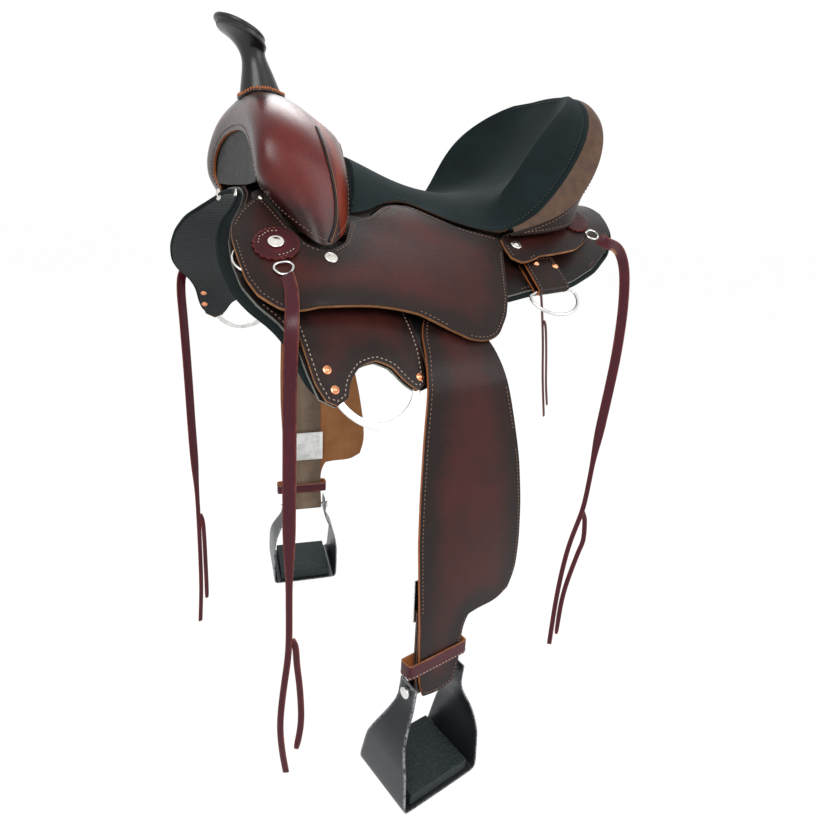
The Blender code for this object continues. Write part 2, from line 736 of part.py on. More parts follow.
def horn_rings(grow):
    """Rings of the horn from its base to the top of its cap: centre, half width, half length, tilt."""
    rim = HORN_CAP_RADIUS
    low = HORN_HEIGHT - HORN_CAP_THICKNESS / 2
    high = HORN_HEIGHT + HORN_CAP_THICKNESS / 2
    neck = (
        (0.0000, 0.0000, 0.0270, 0.0300, 0.00), (0.0035, 0.0170, 0.0225, 0.0245, 0.00),
        (0.0060, 0.0340, 0.0185, 0.0195, 0.05), (0.0095, 0.0480, 0.0152, 0.0156, 0.20),
    )
    cap = (
        (0.0145, low - 0.0130, 0.0175, 0.0190, 0.70), (0.0205, low - 0.0060, 0.76 * rim, 0.80 * rim, 1.0),
        (0.0235, low - 0.0028, 0.91 * rim, 0.94 * rim, 1.0), (0.0255, low, 0.97 * rim, rim, 1.0),
        (0.0275, high, 0.97 * rim, rim, 1.0), (0.0280, high + 0.0030, 0.86 * rim, 0.89 * rim, 1.0),
        (0.0280, high + 0.0034, 0.45 * rim, 0.47 * rim, 1.0),
    )
    for forward, rise, half_x, half_y, lean in neck + cap:
        y, z = HORN_CENTRE_Y - forward, HORN_BASE_HEIGHT + rise
        yield y, z, half_x + grow, half_y + grow, lean * HORN_CAP_TILT


def ring_stack(name, rings, recipe, segments=18):
    """Round body through a stack of tilted ellipses, closed at both ends."""
    bm = bmesh.new()
    loop = None
    for y, z, half_x, half_y, tilt in rings:
        spots = []
        for index in range(segments):
            angle = 2 * math.pi * index / segments
            forward = half_y * math.sin(angle)
            spots.append((
                half_x * math.cos(angle), y * GRADE_Y + forward * math.cos(tilt), z - forward * math.sin(tilt),
            ))
        if loop is None:
            loop = [bm.verts.new(spot) for spot in spots]
            for first, second in zip(loop, loop[1:] + loop[:1]):
                bm.edges.new((first, second))
            bm.faces.new(loop)
            continue
        edges = [bm.edges.get((first, second)) for first, second in zip(loop, loop[1:] + loop[:1])]
        grown = bmesh.ops.extrude_edge_only(bm, edges=edges)
        fresh = {vertex for vertex in grown["geom"] if isinstance(vertex, bmesh.types.BMVert)}
        following = []
        for old, spot in zip(loop, spots):
            new = next(edge.other_vert(old) for edge in old.link_edges if edge.other_vert(old) in fresh)
            new.co = spot
            following.append(new)
        loop = following
    bm.faces.new(loop)
    return publish(name, bm, recipe, crease=50)


def make_horn(swell, fork):
    """Horn, let into the fork through the swell cover."""
    ring_stack("horn", list(horn_rings(0.0)), LEATHER_BLACK)
    socket_rings = list(horn_rings(0.0004))[:4]
    first = socket_rings[0]
    socket_rings[0] = (first[0], first[1] - 0.0004, first[2], first[3], first[4])
    socket = guide(ring_stack("horn_socket_guide", socket_rings, LEATHER_BLACK))
    cut(swell, socket)
    cut(fork, socket)


# Seat net: rows from the swell to the cantle's rim, as centre (y, z), edge (x, y, z), bow and crest.
# The crest is how far the padding stands forward just inside the cantle's rim.
SEAT_ROWS = (
    ((-0.085, 0.092), (0.129, -0.122, 0.012), 2.2, 0.000),
    ((-0.060, 0.083), (0.119, -0.094, 0.020), 2.2, 0.000),
    ((-0.032, 0.072), (0.093, -0.055, 0.034), 2.2, 0.000),
    ((-0.005, 0.063), (0.084, -0.022, 0.034), 2.2, 0.000),
    ((0.025, 0.055), (0.103, 0.004, 0.022), 2.4, 0.000),
    ((0.060, 0.051), (0.124, 0.042, 0.007), 2.6, 0.000),
    ((0.095, 0.050), (0.138, 0.086, -0.001), 2.8, 0.000),
    ((0.125, 0.054), (0.147, 0.112, 0.006), 3.0, 0.014),
    ((0.155, 0.063), (0.152, 0.138, 0.020), 3.2, 0.027),
    ((0.182, 0.079), (0.157, 0.162, 0.044), 3.2, 0.038),
    ((0.205, 0.101), (0.160, 0.184, 0.074), 3.0, 0.043),
    ((0.225, 0.127), (0.158, 0.206, 0.106), 3.0, 0.041),
    ((0.242, 0.154), (0.146, 0.228, 0.138), 3.0, 0.032),
    ((0.256, 0.180), (0.124, 0.245, 0.165), 2.8, 0.020),
    ((0.267, 0.202), (0.092, 0.258, 0.186), 2.4, 0.007),
)
SEAT_ACROSS = (0.0, 0.2, 0.4, 0.6, 0.78, 0.91, 1.0)
CREST_PLACE = 0.82
CREST_INSIDE = 0.27
CREST_OUTSIDE = 0.12
CREST_RISE = 0.7
CREST_FADE = 12


def seat_net():
    """Net of the seat's upper face for the near half."""
    rows = []
    for (centre_y, centre_z), (edge_x, edge_y, edge_z), bow, crest in SEAT_ROWS:
        row = []
        for u in SEAT_ACROSS:
            bend = u ** bow
            width = CREST_INSIDE if u < CREST_PLACE else CREST_OUTSIDE
            swell = crest * math.exp(-((u - CREST_PLACE) / width) ** 2) * (1 - u ** CREST_FADE)
            y = centre_y + (edge_y - centre_y) * bend - swell
            z = centre_z + (edge_z - centre_z) * bend + swell * CREST_RISE
            row.append((edge_x * u, y, z))
        rows.append(row)
    return rows


SEAT = whole_width(net_surface(seat_net()))


def seat_depth(v):
    """Padding is full in the middle and drawn in at the sewn edge."""
    edge = min(v, 1 - v)
    return 0.0045 + (SEAT_PAD_THICKNESS - 0.0045) * smoothstep(edge, 0.0, 0.16)


def make_seat():
    """Padded seat from the swell to the cantle's rim."""
    def place(u, v, w):
        if w:
            return Vector(over_the_bars(SEAT(u, v), SEAT_LOW + 0.0025))
        rim = smoothstep(1 - u, 0.0, 0.10)
        depth = 0.0045 + (seat_depth(v) - 0.0045) * rim
        return Vector(over_the_bars(offset(SEAT, u, v, depth), SEAT_LOW))
    grid_slab("seat_pad", 24, 16, place, SEAT_SUEDE, crease=60)


CANTLE_ROOM = 0.0024


def make_tree_cantle():
    """Wooden cantle behind the seat padding."""
    def place(u, v, w):
        u_in, v_in = 0.66 + 0.22 * u, 0.14 + 0.72 * v
        front = offset(SEAT, u_in, v_in, SEAT_PAD_THICKNESS + CANTLE_ROOM)
        back = offset(SEAT, u_in, v_in, SEAT_PAD_THICKNESS + CANTLE_ROOM + CANTLE_WOOD)
        return Vector(over_the_bars(front if w else back, GROUND_HIGH + 0.0006 + 0.0040 * w))
    grid_slab("tree_cantle", 5, 12, place, TREE_WOOD)


# Cantle cover, by stations from the near front end over the top: rim, outer edge and base points
CANTLE_STATIONS = (
    ((0.1500, 0.1120, 0.0060), (0.1540, 0.1130, 0.0015), (0.1530, 0.1140, -0.0050)),
    ((0.1550, 0.1390, 0.0200), (0.1640, 0.1460, 0.0130), (0.1600, 0.1520, 0.0000)),
    ((0.1595, 0.1640, 0.0440), (0.1730, 0.1850, 0.0310), (0.1600, 0.1880, 0.0050)),
    ((0.1630, 0.1860, 0.0740), (0.1780, 0.2110, 0.0610), (0.1500, 0.2200, 0.0130)),
    ((0.1610, 0.2080, 0.1060), (0.1735, 0.2345, 0.0960), (0.1330, 0.2390, 0.0250)),
    ((0.1490, 0.2300, 0.1380), (0.1570, 0.2540, 0.1310), (0.1100, 0.2480, 0.0360)),
    ((0.1265, 0.2480, 0.1655), (0.1300, 0.2700, 0.1600), (0.0840, 0.2540, 0.0450)),
    ((0.0945, 0.2625, 0.1870), (0.0940, 0.2810, 0.1825), (0.0560, 0.2570, 0.0530)),
    ((0.0500, 0.2715, 0.1990), (0.0490, 0.2880, 0.1950), (0.0280, 0.2580, 0.0590)),
    ((0.0000, 0.2745, 0.2025), (0.0000, 0.2895, 0.1990), (0.0000, 0.2585, 0.0620)),
)


def cantle_cover_point(u, v):
    """Outer face of the cantle's leather: u round the rim, v from the seat's seam to the base."""
    half = 1 - abs(1 - 2 * u)
    table = np.array(CANTLE_STATIONS, float)
    t = half * (len(table) - 1)
    span = min(int(t), len(table) - 2)
    f = t - span
    before = table[span - 1] if span else 2 * table[0] - table[1]
    after = table[span + 2] if span + 2 < len(table) else table[len(table) - 2] * np.array((-1, 1, 1))
    start, end = table[span], table[span + 1]
    curve = 2 * start + (end - before) * f + (2 * before - 5 * start + 4 * end - after) * f ** 2
    rim, outer, base = (curve + (3 * start - before - 3 * end + after) * f ** 3) / 2
    crest = (rim + outer) / 2 + np.array((0.0, 0.0, 0.0035))
    shoulder = outer + (base - outer) * 0.08
    waist = outer + (base - outer) * 0.55 + np.array((0.0, -0.006, 0.0))
    run = spline((rim, crest, outer, shoulder, waist, base), 6)
    exact = v * (len(run) - 1)
    index = min(int(exact), len(run) - 2)
    point = run[index] + (run[index + 1] - run[index]) * (exact - index)
    x, y, z = graded(point)
    return np.array((x if u < 0.5 else -x, y, z))


def make_cantle_cover():
    """Brown leather over the cantle's rim and back."""
    def place(u, v, w):
        v_here = 0.01 + 0.98 * v
        step = 0.004
        along = cantle_cover_point(min(1, u + step), v_here) - cantle_cover_point(max(0, u - step), v_here)
        down = cantle_cover_point(u, min(1, v_here + step)) - cantle_cover_point(u, max(0, v_here - step))
        normal = np.cross(along, down)
        normal = normal / np.linalg.norm(normal)
        point = cantle_cover_point(u, v_here) + normal * COVER_LEATHER * (1 - w)
        return Vector(over_the_bars(point, JOCKEY_HIGH + 0.0012))
    grid_slab("cantle_cover", 26, 7, place, LEATHER_BROWN, crease=60)


# Jockeys

JOCKEY_OUTLINE = (
    (-0.232, 0.099, 1), (-0.262, 0.124), (-0.274, 0.145), (-0.278, 0.168), (-0.278, 0.198), (-0.276, 0.230),
    (-0.268, 0.254), (-0.251, 0.274), (-0.232, 0.282), (-0.205, 0.279), (-0.172, 0.276), (-0.140, 0.275),
    (-0.112, 0.277), (-0.084, 0.284), (-0.054, 0.300), (-0.025, 0.312), (-0.004, 0.314), (0.015, 0.307),
    (0.038, 0.281), (0.052, 0.257), (0.073, 0.206), (0.091, 0.165), (0.094, 0.144, 1), (0.080, 0.137),
    (0.053, 0.129), (0.030, 0.116), (0.002, 0.099), (-0.022, 0.082), (-0.046, 0.084), (-0.068, 0.098),
    (-0.091, 0.118), (-0.112, 0.131), (-0.127, 0.137, 1), (-0.132, 0.150), (-0.147, 0.178), (-0.167, 0.194),
    (-0.184, 0.195), (-0.200, 0.185), (-0.212, 0.160), (-0.222, 0.125),
)
REAR_JOCKEY_OUTLINE = (
    (0.098, 0.146, 1), (0.096, 0.166), (0.098, 0.182), (0.110, 0.192), (0.126, 0.192), (0.145, 0.184),
    (0.175, 0.184), (0.210, 0.181), (0.238, 0.168), (0.260, 0.144), (0.268, 0.120), (0.262, 0.098),
    (0.240, 0.084), (0.200, 0.088), (0.160, 0.104), (0.120, 0.128),
)
REAR_LOW = BAR_TOP + 0.0006


def rear_outer(y, s):
    return REAR_LOW + JOCKEY_LEATHER


def make_jockeys(tag, side):
    """Front jockey with its swell cut-out, and the rear jockey under the cantle."""
    jockey = smooth_outline(JOCKEY_OUTLINE, 1)
    side_sheet(f"jockey_{tag}", jockey, jockey_inner, jockey_outer, side, LEATHER_BROWN)
    rear = smooth_outline(REAR_JOCKEY_OUTLINE, 1)
    side_sheet(f"rear_jockey_{tag}", rear, REAR_LOW, rear_outer, side, LEATHER_BROWN)


# Rosettes, conchos and string dees

FRONT_ROSETTE = (-0.234, 0.186)
REAR_ROSETTE = (0.240, 0.128)
REAR_DEE_TURN = math.radians(27.0)
LAID_GAP = 0.0006
CONCHO_GAP = 0.0008


def make_rosette(name, spot, radius, side, face):
    """Round leather rosette, laid on the leather below."""
    centre_y, centre_s = spot
    outline = []
    for index in range(20):
        angle = 2 * math.pi * index / 20
        outline.append((centre_y + radius * math.cos(angle), centre_s + radius * math.sin(angle)))

    def low(y, s):
        return face(y, s) + LAID_GAP
    return side_sheet(
        name, outline, low, lambda y, s: low(y, s) + ROSETTE_THICKNESS, side, LEATHER_BURGUNDY,
    )


def make_concho(name, spot, side, face, lift):
    """Domed nickel concho with a raised rim."""
    profile = (
        (0.0, 0.0), (CONCHO_RADIUS, 0.0), (CONCHO_RADIUS, 0.0018), (CONCHO_RADIUS * 0.86, 0.0026),
        (CONCHO_RADIUS * 0.62, 0.0020), (CONCHO_RADIUS * 0.30, 0.0034), (0.0, 0.0038),
    )
    turned(name, profile, surface_frame(*spot, face, lift, side), NICKEL, 16)


def hexagon_dee(half_width, height, shoulder):
    """Six-sided dee drawn with its straight bar on the axis, hanging along +Y."""
    return (
        (-half_width * 0.62, 0.0), (half_width * 0.62, 0.0), (half_width, shoulder),
        (half_width * 0.45, height), (-half_width * 0.45, height), (-half_width, shoulder),
    )


def place_wire(name, flat, frame, radius, recipe, corner):
    """Closed wire drawn in a frame's XY plane, with rounded corners."""
    ring = [np.array(point) for point in flat]
    run = []
    for before, here, after in zip(ring[-1:] + ring[:-1], ring, ring[1:] + ring[:1]):
        for t in (0.0, 1.0):
            start = here + (before - here) / np.linalg.norm(before - here) * corner
            end = here + (after - here) / np.linalg.norm(after - here) * corner
            run.append((1 - t) ** 2 * start + 2 * t * (1 - t) * here + t ** 2 * end)
    points = [frame @ Vector((x, y, 0.0)) for x, y in run]
    return wire(name, points, radius, recipe, cyclic=True, resolution=2)


def make_front_fittings(tag, side):
    """Rosette, concho and string dee on the front of the jockey."""
    make_rosette(f"front_rosette_{tag}", FRONT_ROSETTE, ROSETTE_RADIUS, side, jockey_outer)
    concho_lift = LAID_GAP + ROSETTE_THICKNESS + CONCHO_GAP
    make_concho(f"front_concho_{tag}", FRONT_ROSETTE, side, jockey_outer, concho_lift)
    bar_s = FRONT_ROSETTE[1] + ROSETTE_RADIUS + STRING_DEE_WIRE + LAID_GAP
    frame = surface_frame(FRONT_ROSETTE[0], bar_s, jockey_outer, STRING_DEE_WIRE + LAID_GAP, side)
    make_string_dee(f"front_string_dee_{tag}", frame)
    return frame.translation


def make_string_dee(name, frame):
    """Six-sided dee for a saddle string, with its straight bar on the frame's X axis."""
    flat = hexagon_dee(STRING_DEE_WIDTH / 2, STRING_DEE_HEIGHT, STRING_DEE_HEIGHT * 0.45)
    dee = place_wire(name, flat, frame, STRING_DEE_WIRE, STAINLESS, 0.002)
    set_origin(dee, frame.translation)


def make_rear_fittings(tag, side):
    """Rosette and string dee behind the cantle."""
    make_rosette(f"rear_rosette_{tag}", REAR_ROSETTE, REAR_ROSETTE_RADIUS, side, rear_outer)
    reach = REAR_ROSETTE_RADIUS + STRING_DEE_WIRE + LAID_GAP
    y = REAR_ROSETTE[0] + reach * math.sin(REAR_DEE_TURN)
    s = REAR_ROSETTE[1] + reach * math.cos(REAR_DEE_TURN)
    turn = Matrix.Rotation(REAR_DEE_TURN, 4, "Z")
    frame = surface_frame(y, s, rear_outer, STRING_DEE_WIRE + LAID_GAP, side) @ turn
    make_string_dee(f"rear_string_dee_{tag}", frame)
    return frame.translation


# Rear keeper and ring

KEEPER_MIDDLE = 0.149
REAR_RING_MIDDLE = 0.144
KEEPER_LOW_S = 0.233
KEEPER_LEATHER = 0.0030
KEEPER_ROOM = 0.0009
KEEPER_TOP_S = 0.178
KEEPER_WIDTH = 0.0520


def make_rear_ring(tag, side):
    """Leather keeper folded round the straight bar of the rear ring."""
    roll = REAR_RING_WIRE + KEEPER_ROOM
    middle_h = GAP + KEEPER_LEATHER + roll
    fold = []
    for step in range(7):
        angle = math.pi * step / 6
        fold.append((KEEPER_LOW_S + roll * math.sin(angle), middle_h - roll * math.cos(angle)))
    path = [(KEEPER_TOP_S, middle_h - roll)] + fold + [(KEEPER_TOP_S, middle_h + roll)]

    def place(v, s, h):
        point = side_point(KEEPER_MIDDLE + v * KEEPER_WIDTH / GRADE_Y, s, h)
        point.x *= side
        return point
    path_slab(f"rear_keeper_{tag}", path[::-1], KEEPER_LEATHER, 2, place, LEATHER_BROWN)
    frame = surface_frame(REAR_RING_MIDDLE, KEEPER_LOW_S, lambda y, s: middle_h, 0.0, side)
    half = REAR_RING_WIDTH / 2
    flat = [(-half * 0.90, 0.0)]
    for step in range(13):
        angle = math.pi * step / 12
        flat.append((-half * math.cos(angle), 0.012 + half * 0.86 * math.sin(angle)))
    flat.append((half * 0.90, 0.0))
    points = [frame @ Vector((x, y, 0.0)) for x, y in flat]
    ring = wire(f"rear_ring_{tag}", points, REAR_RING_WIRE, STAINLESS, cyclic=True, resolution=2)
    set_origin(ring, frame.translation)


def make_breast_dee(tag, side):
    """Dee held between the skirt and the jockey, for a breast collar."""
    height = GAP + BREAST_DEE_WIRE + 0.0004
    flat = (
        (-0.250, 0.176), (-0.262, 0.172), (-0.275, 0.176), (-0.283, 0.190), (-0.282, 0.204), (-0.272, 0.214),
        (-0.260, 0.217), (-0.250, 0.214),
    )
    points = []
    for y, s in flat:
        point = side_point(y, s, height)
        point.x *= side
        points.append(point)
    wire(f"breast_dee_{tag}", points, BREAST_DEE_WIRE, STAINLESS, cyclic=True, resolution=2)


# Stirrup leather and fender: a flat leaf at the hinge, a bend, then a straight fall with a slight turn

class Hang:
    """Shape of one side's hanging leathers: place(u, v, h). Points inside are for a near side."""

    def __init__(self, side):
        self.side = side
        self.bolt_y = BOLT_Y - HANG_SHIFT * side
        self.top = side_point(self.bolt_y / GRADE_Y, HINGE_S, HINGE_HEIGHT)
        low = side_point(self.bolt_y / GRADE_Y, *LEAF_LOW)
        self.down = (low - self.top).normalized()
        self.out = Vector((-self.down.z, 0.0, self.down.x))
        self.slope = math.atan2(-self.down.z, self.down.x)
        self.loop = BOLT_RADIUS + 0.0006
        self.bolt_x = BOLT_X * GRADE_X
        fall_x = self.bolt_x + self.loop
        reach = fall_x - self.top.x + self.out.x * BEND_RADIUS - BEND_RADIUS
        self.flat = reach / self.down.x
        self.turn = math.pi / 2 - self.slope
        bend_start = self.top + self.down * self.flat
        self.centre = bend_start - self.out * BEND_RADIUS
        self.fall_start = self.flat + BEND_RADIUS * self.turn
        self.fall_top = self.centre + Vector((BEND_RADIUS, 0.0, 0.0))
        self.bolt_v = self.fall_start + self.fall_top.z + BOLT_DROP
        self.twist_end = self.bolt_v - 0.100

    def place(self, u, v, h):
        """World point u to the rear, v down from the hinge and h outwards."""
        if v < self.flat:
            spot = self.top + self.down * v
            out = self.out
            yaw = 0.0
        elif v < self.fall_start:
            angle = self.slope + (v - self.flat) / BEND_RADIUS
            out = Vector((math.sin(angle), 0.0, math.cos(angle)))
            spot = self.centre + out * BEND_RADIUS
            yaw = 0.0
        else:
            spot = self.fall_top - Vector((0.0, 0.0, v - self.fall_start))
            part = min(1.0, (v - self.fall_start) / (self.twist_end - self.fall_start))
            yaw = HANG_YAW * part
            out = Vector((math.cos(yaw), math.sin(yaw), 0.0))
        across = Vector((-math.sin(yaw), math.cos(yaw), 0.0))
        point = spot + across * u + out * h
        point.x *= self.side
        return point

    def hinge(self):
        """Middle of the leather's thickness where it turns under the seat."""
        point = self.top + self.out * (STRAP_THICKNESS / 2)
        return (point.x * self.side, point.y, point.z)


HANGS = {side: Hang(side) for _, side in SIDES}

FENDER_OUTLINE = (
    (-0.018, 0.150), (0.012, 0.146), (0.042, 0.152), (0.054, 0.172), (0.060, 0.198), (0.069, 0.232),
    (0.085, 0.280), (0.104, 0.340), (0.119, 0.406), (0.129, 0.470), (0.132, 0.520), (0.122, 0.548),
    (0.099, 0.561), (0.069, 0.560), (0.048, 0.563), (0.039, 0.578), (0.037, 0.600), (0.036, 0.640),
    (0.028, 0.662), (0.002, 0.668), (-0.026, 0.662), (-0.034, 0.640), (-0.036, 0.600), (-0.038, 0.560),
    (-0.042, 0.490), (-0.045, 0.430), (-0.045, 0.370), (-0.043, 0.290), (-0.039, 0.220), (-0.030, 0.172),
)
HANG_LINES = (-0.018, 0.018, 0.054, 0.090)
BEND_STEPS = 4
FALL_STEP = 0.060


def fall_lines(hang):
    """Lines down the hanging leathers, closer together where they bend."""
    bend = [hang.flat + BEND_RADIUS * hang.turn * step / BEND_STEPS for step in range(BEND_STEPS + 1)]
    falls = [hang.fall_start + FALL_STEP * step for step in range(1, 8)]
    return tuple([hang.flat * 0.5] + bend + falls)


def make_fender(tag, side):
    """Fender sewn over the outer face of the stirrup leather."""
    hang = HANGS[side]
    low = STRAP_THICKNESS + FENDER_GAP

    def place(u, v, w):
        return hang.place(u, v, low + FENDER_LEATHER * w)
    outline = smooth_outline(FENDER_OUTLINE, 1)
    fender = patch(f"fender_{tag}", outline, (HANG_LINES, fall_lines(hang)), place, LEATHER_BROWN)
    set_origin(fender, hang.hinge())


PLY_GAP = 0.0010
STRAP_END = 0.0140
STRAP_END_TAPER = 0.40
BUCKLE_V = 0.520
BUCKLE_LENGTH = 0.030
BUCKLE_THICKNESS = 0.0025
BUCKLE_PROUD = 0.0030
BUCKLE_GAP = 0.0006


def strap_path(hang):
    """Side view of the stirrup leather: down outside, round the bolt and up to the buckle."""
    loop = hang.loop
    path = [(v, 0.0) for v in (-STRAP_END, 0.0, hang.flat * 0.5)]
    path += [(v, 0.0) for v in fall_lines(hang)[1:] if v < hang.bolt_v - 0.010]
    for step in range(7):
        angle = math.pi * step / 6
        path.append((hang.bolt_v + loop * math.sin(angle), -loop + loop * math.cos(angle)))
    path += [
        (hang.bolt_v - 0.012, -2 * loop * 0.80), (hang.bolt_v - 0.026, -2 * loop * 0.30),
        (hang.bolt_v - 0.036, -PLY_GAP), (HOBBLE_V - HOBBLE_WIDTH, -PLY_GAP),
        (BUCKLE_V + BUCKLE_LENGTH / 2, -PLY_GAP),
    ]
    return path


def make_strap(tag, side):
    """Stirrup leather: one strap, turned round the stirrup's bolt."""
    hang = HANGS[side]

    def place(v, a, h):
        taper = STRAP_END_TAPER * max(0.0, -a) / STRAP_END
        return hang.place(v * STRAP_WIDTH * (1 - taper), a, h)
    strap = path_slab(f"stirrup_leather_{tag}", strap_path(hang), STRAP_THICKNESS, 3, place, LEATHER_TAN)
    set_origin(strap, hang.hinge())


def make_leather_buckle(tag, side):
    """Flat buckle that closes the stirrup leather on its inner side."""
    hang = HANGS[side]
    half = STRAP_WIDTH / 2 + BUCKLE_PROUD
    depth = -PLY_GAP - STRAP_THICKNESS - BUCKLE_GAP

    def place(u, v, w):
        a = BUCKLE_V - BUCKLE_LENGTH + 2 * BUCKLE_LENGTH * u
        return hang.place((v - 0.5) * 2 * half, a, depth - BUCKLE_THICKNESS * (1 - w))
    buckle = grid_slab(f"leather_buckle_{tag}", 2, 4, place, STAINLESS)
    set_origin(buckle, hang.hinge())


HOBBLE_V = 0.612
HOBBLE_WIDTH = 0.020
HOBBLE_ROOM = 0.0125
HOBBLE_SHIFT = -0.0035
HOBBLE_SLACK = 0.0040
HOBBLE_LEATHER = 0.0025


def make_hobble(tag, side):
    """Hobble strap wrapped round the fender's tongue and the stirrup leather."""
    hang = HANGS[side]
    out = STRAP_THICKNESS + FENDER_GAP + FENDER_LEATHER + LAID_GAP
    inn = -PLY_GAP - STRAP_THICKNESS - HOBBLE_SLACK
    half = STRAP_WIDTH / 2 + HOBBLE_ROOM
    corner = 0.0030
    ring = []
    arcs = (
        (half - corner, out - corner, 0.0), (-half + corner, out - corner, 90.0),
        (-half + corner, inn + corner, 180.0), (half - corner, inn + corner, 270.0),
    )
    for u, h, start in arcs:
        for step in range(4):
            angle = math.radians(start + 30.0 * step)
            ring.append((u + corner * math.cos(angle), h + corner * math.sin(angle)))

    def place(v, u, h):
        return hang.place(u + HOBBLE_SHIFT, HOBBLE_V + v * HOBBLE_WIDTH, h)
    hobble = path_slab(
        f"hobble_strap_{tag}", ring[::-1], HOBBLE_LEATHER, 1, place, LEATHER_BURGUNDY, closed=True,
    )
    set_origin(hobble, hang.hinge())


# Stirrups, built hanging straight and then tilted about their bolts

def stirrup_frame(side, tilt):
    """Placement at the bolt: +X to the rear along the bolt, +Y outwards, +Z up."""
    rear = Vector((-math.sin(HANG_YAW) * side, math.cos(HANG_YAW), 0.0))
    out = Vector((math.cos(HANG_YAW) * side, math.sin(HANG_YAW), 0.0))
    up = Vector((0.0, 0.0, 1.0))
    tilted_out = out * math.cos(tilt) - up * math.sin(tilt)
    tilted_up = up * math.cos(tilt) + out * math.sin(tilt)
    hang = HANGS[side]
    bolt = Vector((hang.bolt_x * side, hang.bolt_y, -BOLT_DROP))
    return axes_matrix(bolt, rear, tilted_out, tilted_up)


def make_stirrup(tag, side, tilt):
    """Stirrup frame, tread pad and bolt."""
    frame = stirrup_frame(side, math.radians(tilt))
    half_top = STIRRUP_TOP_WIDTH / 2
    half_low = STIRRUP_WIDTH / 2
    bottom = -STIRRUP_HEIGHT - TREAD_PAD_THICKNESS - GAP - STIRRUP_PLATE
    half = (
        (half_top, 0.014), (half_top, -0.022), (half_low - 0.004, -0.064), (half_low, -0.090),
        (half_low, bottom),
    )
    points = half + tuple((-x, z) for x, z in reversed(half))
    path = rounded_path(points, 0.012, 3)

    def depth_at(z):
        t = smoothstep(-z, 0.010, STIRRUP_HEIGHT)
        return STIRRUP_TOP_DEPTH + (STIRRUP_DEPTH - STIRRUP_TOP_DEPTH) * t

    def place(v, x, z):
        return frame @ Vector((x, v * depth_at(z), z))
    stirrup = path_slab(f"stirrup_{tag}", path, -STIRRUP_PLATE, 2, place, STIRRUP_DARK, crease=50)
    set_origin(stirrup, frame.translation)
    drill = bmesh.new()
    bmesh.ops.create_cone(
        drill, cap_ends=True, segments=20, radius1=BOLT_RADIUS + GAP, radius2=BOLT_RADIUS + GAP,
        depth=STIRRUP_TOP_WIDTH * 2,
    )
    along = frame @ Matrix.Rotation(math.pi / 2, 4, "Y")
    bmesh.ops.transform(drill, matrix=along, verts=drill.verts[:])
    cut(stirrup, guide(publish(f"bolt_hole_guide_{tag}", drill, STAINLESS)))

    pad = bmesh.new()
    bmesh.ops.create_cube(pad, size=1.0)
    size = Matrix.Diagonal((TREAD_PAD_WIDTH, TREAD_PAD_DEPTH, TREAD_PAD_THICKNESS, 1))
    middle = Matrix.Translation((0.0, 0.0, -STIRRUP_HEIGHT - TREAD_PAD_THICKNESS / 2))
    bmesh.ops.transform(pad, matrix=frame @ middle @ size, verts=pad.verts[:])
    tread = publish(f"tread_pad_{tag}", pad, TREAD_RUBBER)
    set_origin(tread, frame.translation)

    end = half_top + GAP
    head = BOLT_HEAD_THICKNESS
    profile = (
        (0.0, -end - head), (BOLT_HEAD_RADIUS, -end - head), (BOLT_HEAD_RADIUS, -end),
        (BOLT_RADIUS, -end), (BOLT_RADIUS, end), (BOLT_HEAD_RADIUS, end),
        (BOLT_HEAD_RADIUS, end + head), (0.0, end + head),
    )
    bolt = turned(f"stirrup_bolt_{tag}", profile, along, STAINLESS, 16)
    set_origin(bolt, frame.translation)


# Hanging saddle strings

FRONT_STRING_NEAR = (
    (0.2166, -0.2341, -0.0482), (0.2327, -0.2350, -0.0601), (0.2455, -0.2380, -0.0725),
    (0.2600, -0.2430, -0.0880), (0.2650, -0.2455, -0.1080), (0.2640, -0.2465, -0.1400),
    (0.2610, -0.2465, -0.1800), (0.2590, -0.2465, -0.2400), (0.2580, -0.2470, -0.3000),
    (0.2580, -0.2475, -0.3600), (0.2580, -0.2480, -0.4300), (0.2580, -0.2490, -0.5000),
    (0.2580, -0.2560, -0.5550), (0.2580, -0.2610, -0.6060), (0.2580, -0.2590, -0.6500),
    (0.2580, -0.2540, -0.6890),
)
FRONT_TAIL_NEAR = (
    (0.2580, -0.2402, -0.4950), (0.2580, -0.2385, -0.5250), (0.2580, -0.2350, -0.5600),
    (0.2580, -0.2330, -0.6030), (0.2580, -0.2350, -0.6300), (0.2580, -0.2400, -0.6560),
)
FRONT_STRING_OFF = (
    (-0.2166, -0.2341, -0.0482), (-0.2327, -0.2375, -0.0601), (-0.2460, -0.2450, -0.0725),
    (-0.2590, -0.2570, -0.0860), (-0.2620, -0.2660, -0.1030), (-0.2590, -0.2690, -0.1300),
    (-0.2540, -0.2685, -0.1700), (-0.2500, -0.2676, -0.2295), (-0.2500, -0.2662, -0.3000),
    (-0.2500, -0.2653, -0.3690), (-0.2500, -0.2635, -0.4450), (-0.2500, -0.2620, -0.5190),
    (-0.2500, -0.2622, -0.6200), (-0.2500, -0.2640, -0.7100), (-0.2500, -0.2690, -0.7850),
)
FRONT_TAIL_OFF = (
    (-0.2500, -0.2536, -0.5600), (-0.2500, -0.2532, -0.6000), (-0.2500, -0.2532, -0.6500),
    (-0.2500, -0.2534, -0.7000), (-0.2500, -0.2540, -0.7350),
)
